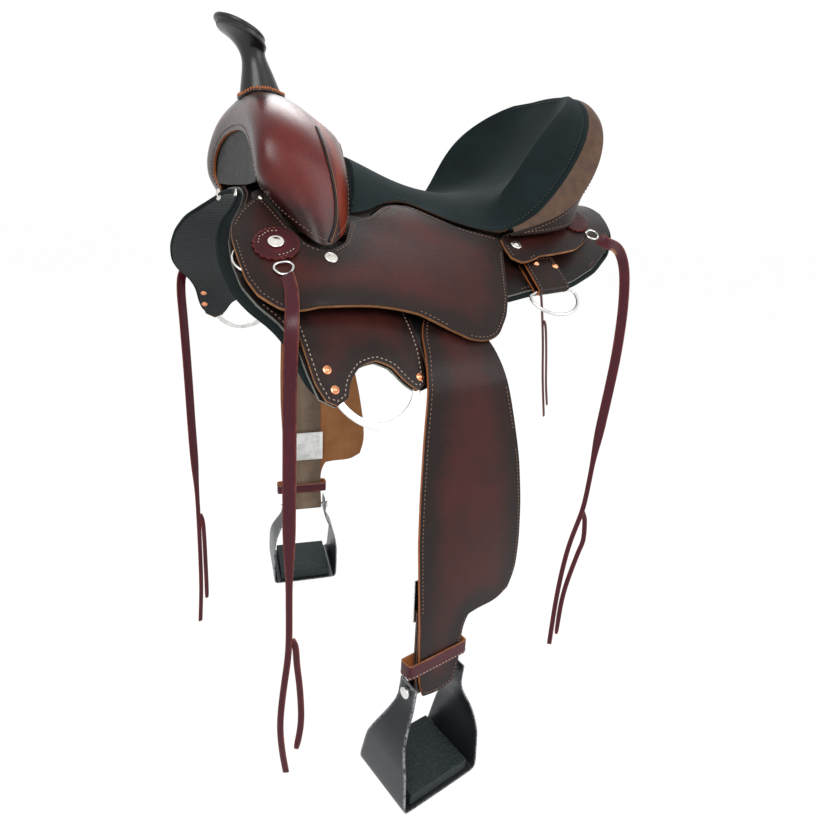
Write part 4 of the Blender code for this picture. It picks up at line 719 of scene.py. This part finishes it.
def tube(name, points, radius, material, slot, closed=False, sides=8):
    """Round cord or roll along points, as one closed skin."""
    count = len(points)
    bm = bmesh.new()
    rings = []
    up = None
    for index, point in enumerate(points):
        if closed:
            along = (points[(index + 1) % count] - points[index - 1]).normalized()
        else:
            along = (points[min(count - 1, index + 1)] - points[max(0, index - 1)]).normalized()
        if up is None:
            up = along.orthogonal().normalized()
        up = (up - along * up.dot(along)).normalized()
        side = along.cross(up)
        ring = bmesh.ops.create_circle(bm, segments=sides, radius=radius)["verts"]
        turn = Matrix((side, up, along)).transposed().to_4x4()
        bmesh.ops.transform(bm, verts=ring, matrix=Matrix.Translation(point) @ turn)
        rings.append(ring)
    join_rings(bm, list(zip(rings, rings[1:])) + ([(rings[-1], rings[0])] if closed else []))
    if not closed:
        bmesh.ops.holes_fill(bm, edges=bm.edges, sides=sides)
    bmesh.ops.recalc_face_normals(bm, faces=bm.faces)
    finished(name, bm, [material], "saddle", slot, 1)


# Saddle strings, as flat straps

def curve_through(points, steps):
    """Smooth run through points."""
    known = [Vector(point) for point in points]
    out = []
    for index in range(len(known) - 1):
        start, end = known[index], known[index + 1]
        before = known[index - 1] if index else start * 2 - end
        after = known[index + 2] if index + 2 < len(known) else end * 2 - start
        for step in range(steps):
            t = step / steps
            out.append(0.5 * (
                2 * start + (end - before) * t
                + (2 * before - 5 * start + 4 * end - after) * t ** 2
                + (3 * start - before - 3 * end + after) * t ** 3
            ))
    out.append(known[-1])
    return out


STRAP_THICK = 0.0026
TAIL_WIDTH = 0.0085
STRING_WIDTH = 0.0160
STRING_TAPER = 0.13
TAIL_TAPER_FROM = 0.9
END_RING = 0.06
STRAP_SECTION = (
    (-1, -0.4), (-1, 0.4), (-0.86, 1), (0.86, 1), (1, 0.4), (1, -0.4), (0.86, -1), (-0.86, -1),
)


def flat_strap(name, route, width_at, facing, body, node):
    """Flat leather strap along a route, its broad side turned to one way."""
    points = curve_through(route, 3)
    points[1:1] = [points[0].lerp(points[1], END_RING)]
    points[-1:-1] = [points[-1].lerp(points[-2], END_RING)]
    count = len(points)
    bm = bmesh.new()
    rings = []
    for index, point in enumerate(points):
        along = (points[min(count - 1, index + 1)] - points[max(0, index - 1)]).normalized()
        side = along.cross(facing).normalized()
        out = side.cross(along).normalized()
        half = width_at(index / (count - 1)) / 2
        thick = STRAP_THICK / 2
        ring = [
            bm.verts.new(point + side * half * across + out * thick * high)
            for across, high in STRAP_SECTION
        ]
        for first, second in zip(ring, ring[1:] + ring[:1]):
            bm.edges.new((first, second))
        rings.append(ring)
    join_rings(bm, zip(rings, rings[1:]))
    bmesh.ops.holes_fill(bm, edges=bm.edges, sides=len(STRAP_SECTION))
    bmesh.ops.recalc_face_normals(bm, faces=bm.faces)
    for face in bm.faces:
        across = abs(face.normal.dot(facing))
        face.material_index = 0 if across > 0.5 else 1
    item = finished(name, bm, [BURGUNDY, EDGE_TAN], body, "burgundy_leather", 1)
    mark_inland(item)
    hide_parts(node)
    length = sum((end - start).length for start, end in zip(points, points[1:]))
    return item, points, length


FRONT_STRING_NEAR = (
    (0.2166, -0.2341, -0.0482), (0.2327, -0.2350, -0.0601), (0.2455, -0.2380, -0.0725),
    (0.2600, -0.2430, -0.0880), (0.2650, -0.2455, -0.1080), (0.2640, -0.2465, -0.1400),
    (0.2610, -0.2465, -0.1800), (0.2590, -0.2465, -0.2400), (0.2580, -0.2470, -0.3000),
    (0.2580, -0.2475, -0.3600), (0.2580, -0.2480, -0.4300), (0.2580, -0.2490, -0.5000),
    (0.2580, -0.2560, -0.5550), (0.2580, -0.2610, -0.6060), (0.2580, -0.2590, -0.6500),
    (0.2580, -0.2540, -0.6890),
)
FRONT_TAIL_NEAR = (
    (0.2580, -0.2450, -0.4850), (0.2580, -0.2402, -0.4980), (0.2580, -0.2385, -0.5250),
    (0.2580, -0.2350, -0.5600), (0.2580, -0.2330, -0.6030), (0.2580, -0.2350, -0.6300),
    (0.2580, -0.2400, -0.6560),
)
FRONT_STRING_OFF = (
    (-0.2166, -0.2341, -0.0482), (-0.2327, -0.2375, -0.0601), (-0.2460, -0.2450, -0.0725),
    (-0.2590, -0.2570, -0.0860), (-0.2620, -0.2660, -0.1030), (-0.2590, -0.2690, -0.1300),
    (-0.2540, -0.2685, -0.1700), (-0.2500, -0.2676, -0.2295), (-0.2500, -0.2662, -0.3000),
    (-0.2500, -0.2653, -0.3690), (-0.2500, -0.2635, -0.4450), (-0.2500, -0.2620, -0.5190),
    (-0.2500, -0.2622, -0.6200), (-0.2500, -0.2640, -0.7100), (-0.2500, -0.2690, -0.7850),
)
FRONT_TAIL_OFF = (
    (-0.2500, -0.2590, -0.5500), (-0.2500, -0.2545, -0.5650), (-0.2500, -0.2532, -0.6000),
    (-0.2500, -0.2532, -0.6500), (-0.2500, -0.2534, -0.7000), (-0.2500, -0.2540, -0.7350),
)
REAR_STRING_NEAR = (
    (0.1658, 0.2610, -0.0033), (0.1722, 0.2655, -0.0078), (0.1748, 0.2760, -0.0116),
    (0.1700, 0.2940, -0.0160), (0.1640, 0.3120, -0.0270), (0.1600, 0.3270, -0.0480),
    (0.1580, 0.3360, -0.0780), (0.1580, 0.3405, -0.1260), (0.1575, 0.3400, -0.2000),
    (0.1560, 0.3320, -0.2960), (0.1545, 0.3270, -0.3600), (0.1540, 0.3235, -0.4200),
    (0.1520, 0.3195, -0.4690), (0.1500, 0.3004, -0.5373), (0.1500, 0.2890, -0.6286),
    (0.1500, 0.2860, -0.7350),
)
REAR_TAIL_NEAR = (
    (0.1515, 0.3210, -0.4690), (0.1505, 0.3290, -0.4830), (0.1500, 0.3325, -0.4980),
    (0.1500, 0.3345, -0.5300), (0.1500, 0.3247, -0.5570), (0.1500, 0.3037, -0.6325),
    (0.1500, 0.3000, -0.7170),
)
REAR_STRING_OFF = (
    (-0.1658, 0.2610, -0.0033), (-0.1722, 0.2655, -0.0078), (-0.1748, 0.2770, -0.0112),
    (-0.1690, 0.3040, -0.0130), (-0.1590, 0.3350, -0.0160), (-0.1480, 0.3640, -0.0280),
    (-0.1380, 0.3870, -0.0560), (-0.1320, 0.4020, -0.0950), (-0.1290, 0.4120, -0.1350),
    (-0.1280, 0.4220, -0.1900), (-0.1280, 0.4300, -0.2400), (-0.1290, 0.4400, -0.3100),
    (-0.1300, 0.4560, -0.3950),
)
REAR_TAIL_OFF = (
    (-0.1280, 0.4240, -0.1850), (-0.1280, 0.4312, -0.1960), (-0.1280, 0.4405, -0.2500),
    (-0.1290, 0.4505, -0.3200), (-0.1300, 0.4612, -0.3700),
)
STRING_SETS = (
    ("front", "near", FRONT_STRING_NEAR, FRONT_TAIL_NEAR, (0.88, -0.48, 0), 0.58),
    ("front", "off", FRONT_STRING_OFF, FRONT_TAIL_OFF, (-0.97, -0.25, 0), 0.70),
    ("rear", "near", REAR_STRING_NEAR, REAR_TAIL_NEAR, (0.80, -0.60, 0), 0.62),
    ("rear", "off", REAR_STRING_OFF, REAR_TAIL_OFF, (-0.90, -0.43, 0), 0.50),
)


def make_strings():
    """Each string with its second tail, both made as flat straps."""
    for end, tag, route, tail_route, facing, split in STRING_SETS:
        body = f"{tag}_{end}_string"
        facing = Vector(facing).normalized()

        def main_width(t, split=split):
            tapered = max(TAIL_WIDTH, STRING_WIDTH - (t - split) * STRING_TAPER)
            return STRING_WIDTH if t < split else tapered

        def tail_width(t):
            return TAIL_WIDTH * (1.0 if t < TAIL_TAPER_FROM else 1.0 - (t - TAIL_TAPER_FROM) * 4)

        for node, line, width_at, width in (
            (f"{end}_string_{tag}", route, main_width, STRING_WIDTH),
            (f"{end}_string_tail_{tag}", tail_route, tail_width, TAIL_WIDTH),
        ):
            item, points, length = flat_strap(node + "_strap", line, width_at, facing, body, node)


make_camera()
make_strings()


# Leather work

def outwards(side):
    """Away from the horse and up."""
    return Vector((side * 0.7, 0.0, 0.3))


def sew(item, inset, material=THREAD, **sizes):
    """Stitch a row round a panel."""
    name = item.name.replace("_made", "_stitch_0")
    stitches(name, rows_inside(item, inset), item["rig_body"], item["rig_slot"], material, **sizes)


def cover_node(name, material):
    """Give a CAD node that stays in view its finish."""
    NODES[name].data.materials.clear()
    NODES[name].data.materials.append(material)


made = {}
for tag, side in SIDES:
    out = outwards(side)
    away = Vector((side, 0, 0))
    panels = {
        # The skirt's rim takes the painted highlight colour of its cut edge.
        "skirt": ([SKIRT_BROWN, SKIRT_EDGE_HIGHLIGHT, FLESH_DARK], out, 0.0008),
        "skirt_lining": ([BINDING, BINDING, KNIT], out, 0.0016),
        "jockey": ([BROWN, EDGE_TAN, FLESH], out, 0.0007),
        "rear_jockey": ([BROWN, EDGE_TAN, FLESH], out, 0.0007),
        "rear_keeper": ([BROWN, EDGE_ORANGE, BROWN], out, 0.0005),
        "rigging_plate": ([BROWN, EDGE_TAN, FLESH_DARK], out, 0.0007),
        # Painted shade: the near stirrup leather takes the black horn leather for the shade it lies in
        # beside the fender; its own colour is dark red-brown. The off one is tan.
        "stirrup_leather": ([BLACK, EDGE_DARK, BLACK] if side > 0 else [TAN, EDGE_TAN, TAN], away, 0.0005),
        "fender": ([BROWN, EDGE_ORANGE, FLESH], away, 0.0007),
        "hobble_strap": ([BURGUNDY, EDGE_TAN, EDGE_ORANGE], None, 0.0004),
    }
    for part, (materials, outward, bevel) in panels.items():
        made[part, tag] = worked(f"{part}_{tag}", materials, bevel, 2, 38.0, outward)
    for part in ("front_rosette", "rear_rosette"):
        made[part, tag] = worked(f"{part}_{tag}", [ROSETTE_RED, BURGUNDY, FLESH], 0.0008, 2, 38.0, out)
    for part in ("breast_dee", "front_string_dee", "rear_string_dee", "rear_ring"):
        made[part, tag] = worked(f"{part}_{tag}", [STEEL] * 3, 0.0, 1, 80.0)
    made["rigging_ring", tag] = worked(f"rigging_ring_{tag}", [STEEL] * 3, 0.0007, 2, 38.0)
    made["leather_buckle", tag] = worked(f"leather_buckle_{tag}", [STEEL] * 3, 0.0005, 2, 38.0)
    made["front_concho", tag] = worked(f"front_concho_{tag}", [NICKEL] * 3, 0.0003, 1, 50.0)
    made["stirrup", tag] = worked(f"stirrup_{tag}", [PLATE] * 3, 0.0006, 2, 38.0)
    made["stirrup_bolt", tag] = worked(f"stirrup_bolt_{tag}", [STEEL] * 3, 0.0007, 2, 38.0)
    made["tread_pad", tag] = worked(f"tread_pad_{tag}", [RUBBER] * 3, 0.0022, 2, 38.0)
    cover_node(f"tree_bar_{tag}", WOOD)

made["swell_cover"] = worked("swell_cover", [OXBLOOD, EDGE_ORANGE, FLESH_DARK], 0.0008, 2, 42.0)
made["horn"] = worked("horn", [BLACK] * 3, 0.0016, 2, 42.0)
made["gullet_panel"] = worked("gullet_panel", [DARK_PANEL] * 3, 0.0006, 2, 38.0)
made["cantle_cover"] = worked("cantle_cover", [CANTLE_BROWN, EDGE_DARK, CANTLE_BROWN], 0.0008, 2, 42.0)
for name, material in (("tree_fork", WOOD), ("tree_cantle", WOOD), ("ground_seat", STRAINER)):
    cover_node(name, material)


# Seat

made["seat"] = worked("seat_pad", [SEAT, SEAT, FLESH_DARK], 0.0020, 2, 42.0, Vector((0, 0, 1)))


SMOOTHING_ROUNDS = 14
SEAT_RIM = 0.009


def ease_seat(item):
    """Draw the padding tight: its face is smoothed, but not its sewn rim."""
    bm = bmesh.new()
    bm.from_mesh(item.data)
    bm.normal_update()
    under = tree_of([vertex.co for vertex in bm.verts if vertex.normal.z < -0.1])
    inner = [vertex for vertex in bm.verts if under.find(vertex.co)[2] > SEAT_RIM]
    for _ in range(SMOOTHING_ROUNDS):
        bmesh.ops.smooth_vert(
            bm, verts=inner, factor=0.5, use_axis_x=True, use_axis_y=True, use_axis_z=True,
        )
    bm.to_mesh(item.data)
    bm.free()
    for polygon in item.data.polygons:
        polygon.use_smooth = True


ease_seat(made["seat"])


# Sewing

for tag, side in SIDES:
    sew(made["jockey", tag], 0.0045)
    sew(made["rear_jockey", tag], 0.0045)
    sew(made["skirt", tag], 0.0060)
    sew(made["rigging_plate", tag], 0.0045, PALE_THREAD)
    sew(made["fender", tag], 0.0050)
    sew(made["rear_keeper", tag], 0.0040)
    sew(made["hobble_strap", tag], 0.0028, PALE_THREAD)
    sew(made["front_rosette", tag], 0.0038, BURGUNDY, pitch=0.0050, length=0.0038, thick=0.0009)
    sew(made["rear_rosette", tag], 0.0038, BURGUNDY, pitch=0.0050, length=0.0038, thick=0.0009)
sew(made["seat"], 0.0060, DARK_THREAD)
sew(made["cantle_cover"], 0.0050)
sew(made["swell_cover"], 0.0060)


# Fittings

def whole(item):
    """Search tree over a whole piece."""
    mesh = item.data
    return BVHTree.FromPolygons(
        [vertex.co for vertex in mesh.vertices], [tuple(p.vertices) for p in mesh.polygons],
    )


def seen(px, py, *items):
    """Place and normal on the pieces where the camera sees a pixel."""
    way = sight(px, py)
    best = None
    for item in items:
        spot, normal, _, distance = whole(item).ray_cast(CAMERA_PLACE, way)
        if spot is not None and (best is None or distance < best[2]):
            best = (spot, normal if normal.dot(way) < 0 else -normal, distance)
    return (best[0], best[1]) if best else None


def mirrored(vector):
    """The same on the other side of the saddle."""
    return Vector((-vector.x, vector.y, vector.z))


def studs_on(name, profile, material, pixels, part):
    """Studs where the camera sees them on the near side, and their twins on the off side."""
    for number, (px, py) in enumerate(pixels):
        found = seen(px, py, made[part, "near"])
        if not found:
            continue
        spot, normal = found
        stud(f"{name}_near_{number}", profile, spot, normal, material)
        twin, twin_normal, _, _ = whole(made[part, "off"]).find_nearest(mirrored(spot))
        if twin_normal.dot(mirrored(normal)) < 0:
            twin_normal = -twin_normal
        stud(f"{name}_off_{number}", profile, twin, twin_normal, material)


studs_on("plate_rivet", RIVET, COPPER, ((327, 370), (335, 390), (420, 377)), "rigging_plate")
studs_on("keeper_rivet", RIVET, COPPER, ((536, 263), (555, 266)), "rear_keeper")
studs_on("front_nail", NAIL, NICKEL, ((261, 198),), "jockey")
studs_on("jockey_concho", SMALL_CONCHO, NICKEL, ((331, 258),), "jockey")
studs_on("rear_concho", SMALL_CONCHO, NICKEL, ((516, 245),), "rear_jockey")
for number, pixel in enumerate(((203.6, 293), (204.6, 304))):
    found = seen(*pixel, made["skirt_lining", "off"])
    if found:
        stud(f"inner_rivet_off_{number}", RIVET, *found, COPPER)
        stud(f"inner_rivet_near_{number}", RIVET, mirrored(found[0]), mirrored(found[1]), COPPER)


BEADS = 22
BEAD_RADIUS = 0.0009
BEAD_RING = 0.86


def berries(name, item):
    """Ring of small beads on a concho's rim."""
    points = [vertex.co for vertex in item.data.vertices]
    centre = sum(points, Vector()) / len(points)
    normal = max((p for p in item.data.polygons), key=lambda p: p.area).normal
    tree = whole(item)
    reach = max((point - centre).length for point in points)
    turn = standing(centre, normal).to_3x3()
    bm = bmesh.new()
    for index in range(BEADS):
        angle = 2 * math.pi * index / BEADS
        spot = centre + turn @ Vector((math.cos(angle), math.sin(angle), 0)) * reach * BEAD_RING
        hit = tree.find_nearest(spot + turn @ Vector((0, 0, 0.004)))
        ball = bmesh.ops.create_icosphere(bm, subdivisions=1, radius=BEAD_RADIUS)["verts"]
        bmesh.ops.translate(bm, verts=ball, vec=hit[0])
    finished(name, bm, [NICKEL], "saddle", item["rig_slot"])


SCALLOPS = 20
SCALLOP_DEPTH = 0.0013


def scallop(item):
    """Pink the rim of a round leather rosette."""
    points = [vertex.co for vertex in item.data.vertices]
    centre = sum(points, Vector()) / len(points)
    up = (centre - Vector((0, centre.y, centre.z - abs(centre.x) * 0.9))).normalized()
    turn = standing(centre, up).to_3x3().inverted()
    reach = max((point - centre).length for point in points)
    for vertex in item.data.vertices:
        flat = turn @ (vertex.co - centre)
        distance = math.hypot(flat.x, flat.y)
        if distance > reach * 0.80:
            wave = 0.5 + 0.5 * math.cos(SCALLOPS * math.atan2(flat.y, flat.x))
            inward = (centre - vertex.co).normalized()
            vertex.co += inward * SCALLOP_DEPTH * 2 * (1 - wave) * (distance / reach)


for tag, side in SIDES:
    for part in ("front_rosette", "rear_rosette"):
        scallop(made[part, tag])
        sew(made[part, tag], 0.0062, PALE_THREAD, pitch=0.0046, length=0.0026, thick=0.0008)
    berries(f"front_concho_beads_{tag}", made["front_concho", tag])


WELT = (
    (0.100, -0.156, 0.120), (0.130, -0.158, 0.103), (0.150, -0.158, 0.087), (0.161, -0.156, 0.070),
    (0.165, -0.154, 0.053), (0.166, -0.154, 0.025), (0.168, -0.160, 0.002), (0.176, -0.170, -0.016),
)
swell_tree = surface(made["swell_cover"])
for tag, side in SIDES:
    line = []
    for point in curve_through(WELT, 5):
        spot, normal, _, _ = swell_tree.find_nearest(Vector((point.x * side, point.y, point.z)))
        line.append(spot + normal * 0.0006)
    tube(f"swell_welt_{tag}", line, 0.0021, DARK_PANEL, "swell_leather")
    edge = [point + Vector((0, 0.0030, 0)) for point in line]
    edge = [swell_tree.find_nearest(point)[0] for point in edge]
    tube(f"swell_welt_edge_{tag}", edge, 0.0011, EDGE_TAN, "swell_leather")


# Horn details

HORN_TOP = Vector((0, -0.2235, 0.2342))
HORN_TILT = Vector((0, 0.3584, 0.9336)).normalized()


CAST_RADIUS = 0.045
horn_tree = whole(made["horn"])


def ring_on_horn(drop, inset, count=40):
    """Ring on the side of the horn's cap, a drop below its top and an inset deep."""
    centre = HORN_TOP - HORN_TILT * drop
    turn = standing(centre, HORN_TILT)
    ring = []
    for index in range(count):
        angle = 2 * math.pi * index / count
        start = turn @ Vector((CAST_RADIUS * math.cos(angle), CAST_RADIUS * math.sin(angle), 0))
        inward = (centre - start).normalized()
        ring.append(horn_tree.ray_cast(start, inward)[0] + inward * inset)
    return ring


tube("horn_cap_roll", ring_on_horn(0.0042, 0.0026), 0.0040, BLACK, "black_leather", True, 10)
tube("horn_cap_seam", ring_on_horn(0.0105, 0.0002), 0.0009, DARK_THREAD, "black_leather", True)


NECK_Y = -0.1955
COLLAR_POINTS = 48
COLLAR_SEARCH_TOP = 0.185
COLLAR_SEARCH_STEPS = 44
COLLAR_TOUCH = 0.0022


def collar_line():
    """Where the horn's neck comes out of the swell cover."""
    line = []
    outer = whole(made["swell_cover"])
    for index in range(COLLAR_POINTS):
        angle = 2 * math.pi * index / COLLAR_POINTS
        way = Vector((math.cos(angle), math.sin(angle), 0))
        for step in range(COLLAR_SEARCH_STEPS):
            start = Vector((0, NECK_Y, COLLAR_SEARCH_TOP - step * 0.001)) + way * 0.12
            spot = horn_tree.ray_cast(start, -way)[0]
            if spot is not None and outer.find_nearest(spot)[3] < COLLAR_TOUCH:
                line.append(spot + way * 0.0012)
                break
    return line


def make_collar():
    """Rolled collar round the neck, with small orange points on top."""
    neck = collar_line()
    tube("horn_collar", neck, 0.0024, OXBLOOD, "swell_leather", True)
    bm = bmesh.new()
    for spot in neck:
        way = Vector((spot.x, spot.y - NECK_Y, 0)).normalized()
        ball = bmesh.ops.create_icosphere(bm, subdivisions=1, radius=0.0021)["verts"]
        bmesh.ops.scale(bm, verts=ball, vec=(0.8, 0.8, 1.3))
        bmesh.ops.translate(bm, verts=ball, vec=spot + Vector((0, 0, 0.0026)) + way * 0.0004)
    finished("horn_collar_points", bm, [EDGE_ORANGE], "saddle", "swell_leather")


make_collar()
found = seen(219, 194.5, made["skirt_lining", "off"], made["skirt", "off"], made["jockey", "off"])
if found:
    stud("panel_concho_off", SMALL_CONCHO, *found, NICKEL)
    stud("panel_concho_near", SMALL_CONCHO, mirrored(found[0]), mirrored(found[1]), NICKEL)


# Rolls along the lining and the seat's seam

for tag, side in SIDES:
    line = spaced(rim_points(made["skirt_lining", tag].data)[0], 0.012)
    inner = whole(made["skirt_lining", tag])
    middle = [inner.find_nearest(point - outwards(side) * 0.0022)[0] for point in line]
    tube(f"lining_binding_{tag}", middle, 0.0030, BINDING, "lining", True)

SEAM = (
    (0.1500, 0.1120, 0.0060), (0.1550, 0.1390, 0.0200), (0.1595, 0.1640, 0.0440), (0.1630, 0.1860, 0.0740),
    (0.1610, 0.2080, 0.1060), (0.1490, 0.2300, 0.1380), (0.1265, 0.2480, 0.1655), (0.0945, 0.2625, 0.1870),
    (0.0500, 0.2715, 0.1990), (0.0000, 0.2745, 0.2025),
)
seam = [Vector(point) for point in SEAM]
seam = seam + [mirrored(point) for point in reversed(seam[:-1])]
SEAM_INSET = 0.0035
for point in seam:
    inset = math.copysign(SEAM_INSET, point.x) if point.x else 0
    point += Vector((-inset, -0.0020, -0.0022))
tube("seat_seam_roll", curve_through(seam, 4), 0.0038, SEAT, "seat_suede")


# Stage and light

WHITE = (1.0, 1.0, 1.0)
FLOOR_SIZE = 30.0
FLOOR_HEIGHT = -0.802


def make_floor():
    """Pale floor that glows for the camera and keeps some of the shadow."""
    floor = Finish("floor")
    speck = floor.noise(3.0, 2.0)
    floor.set(Base_Color=floor.mix(speck, (0.86, 0.86, 0.86), (0.90, 0.90, 0.90)), Roughness=0.9)
    glow = floor.node("ShaderNodeEmission", None, {"Color": WHITE, "Strength": 1.1})
    plain = Value(floor, floor.shader.outputs[0])
    both = floor.node(
        "ShaderNodeMixShader", None, {0: floor.background_rays() * 0.86, 1: plain, 2: glow},
    )
    floor.feed(floor.tree.nodes["Material Output"].inputs[0], both)
    bm = bmesh.new()
    bmesh.ops.create_grid(bm, x_segments=4, y_segments=4, size=FLOOR_SIZE)
    bmesh.ops.translate(bm, verts=bm.verts, vec=(0, 0, FLOOR_HEIGHT))
    mesh = bpy.data.meshes.new("floor")
    bm.to_mesh(mesh)
    bm.free()
    item = bpy.data.objects.new("floor", mesh)
    item.data.materials.append(floor.material)
    bpy.context.scene.collection.objects.link(item)


def make_world():
    """White to look at, plain soft light on the saddle."""
    world = bpy.data.worlds.new("studio")
    bpy.context.scene.world = world
    world.use_nodes = True
    world.node_tree.nodes.clear()
    sky = Nodes(world.node_tree)
    light = sky.node("ShaderNodeBackground", None, {0: (0.93, 0.96, 1.0), 1: 0.30})
    white = sky.node("ShaderNodeBackground", None, {0: WHITE, 1: 1.0})
    both = sky.node("ShaderNodeMixShader", None, {0: sky.background_rays(), 1: light, 2: white})
    sky.node("ShaderNodeOutputWorld", None, {0: both}, None)


def make_lamp(name, place, aim, size, power):
    """Soft square lamp that points at a place."""
    data = bpy.data.lights.new(name, "AREA")
    data.size = size
    data.energy = power
    item = bpy.data.objects.new(name, data)
    item.location = place
    item.rotation_euler = (Vector(aim) - Vector(place)).to_track_quat("-Z", "Y").to_euler()
    bpy.context.scene.collection.objects.link(item)


make_floor()
make_world()
make_lamp("key", (2.2, -1.5, 1.7), (0, 0, -0.1), 1.6, 62)
make_lamp("fill", (2.2, 1.6, 0.8), (0, 0, -0.2), 2.0, 34)
make_lamp("back", (-1.8, 0.6, 2.0), (0, 0, 0), 1.6, 40)
bpy.context.scene.view_settings.view_transform = "Standard"
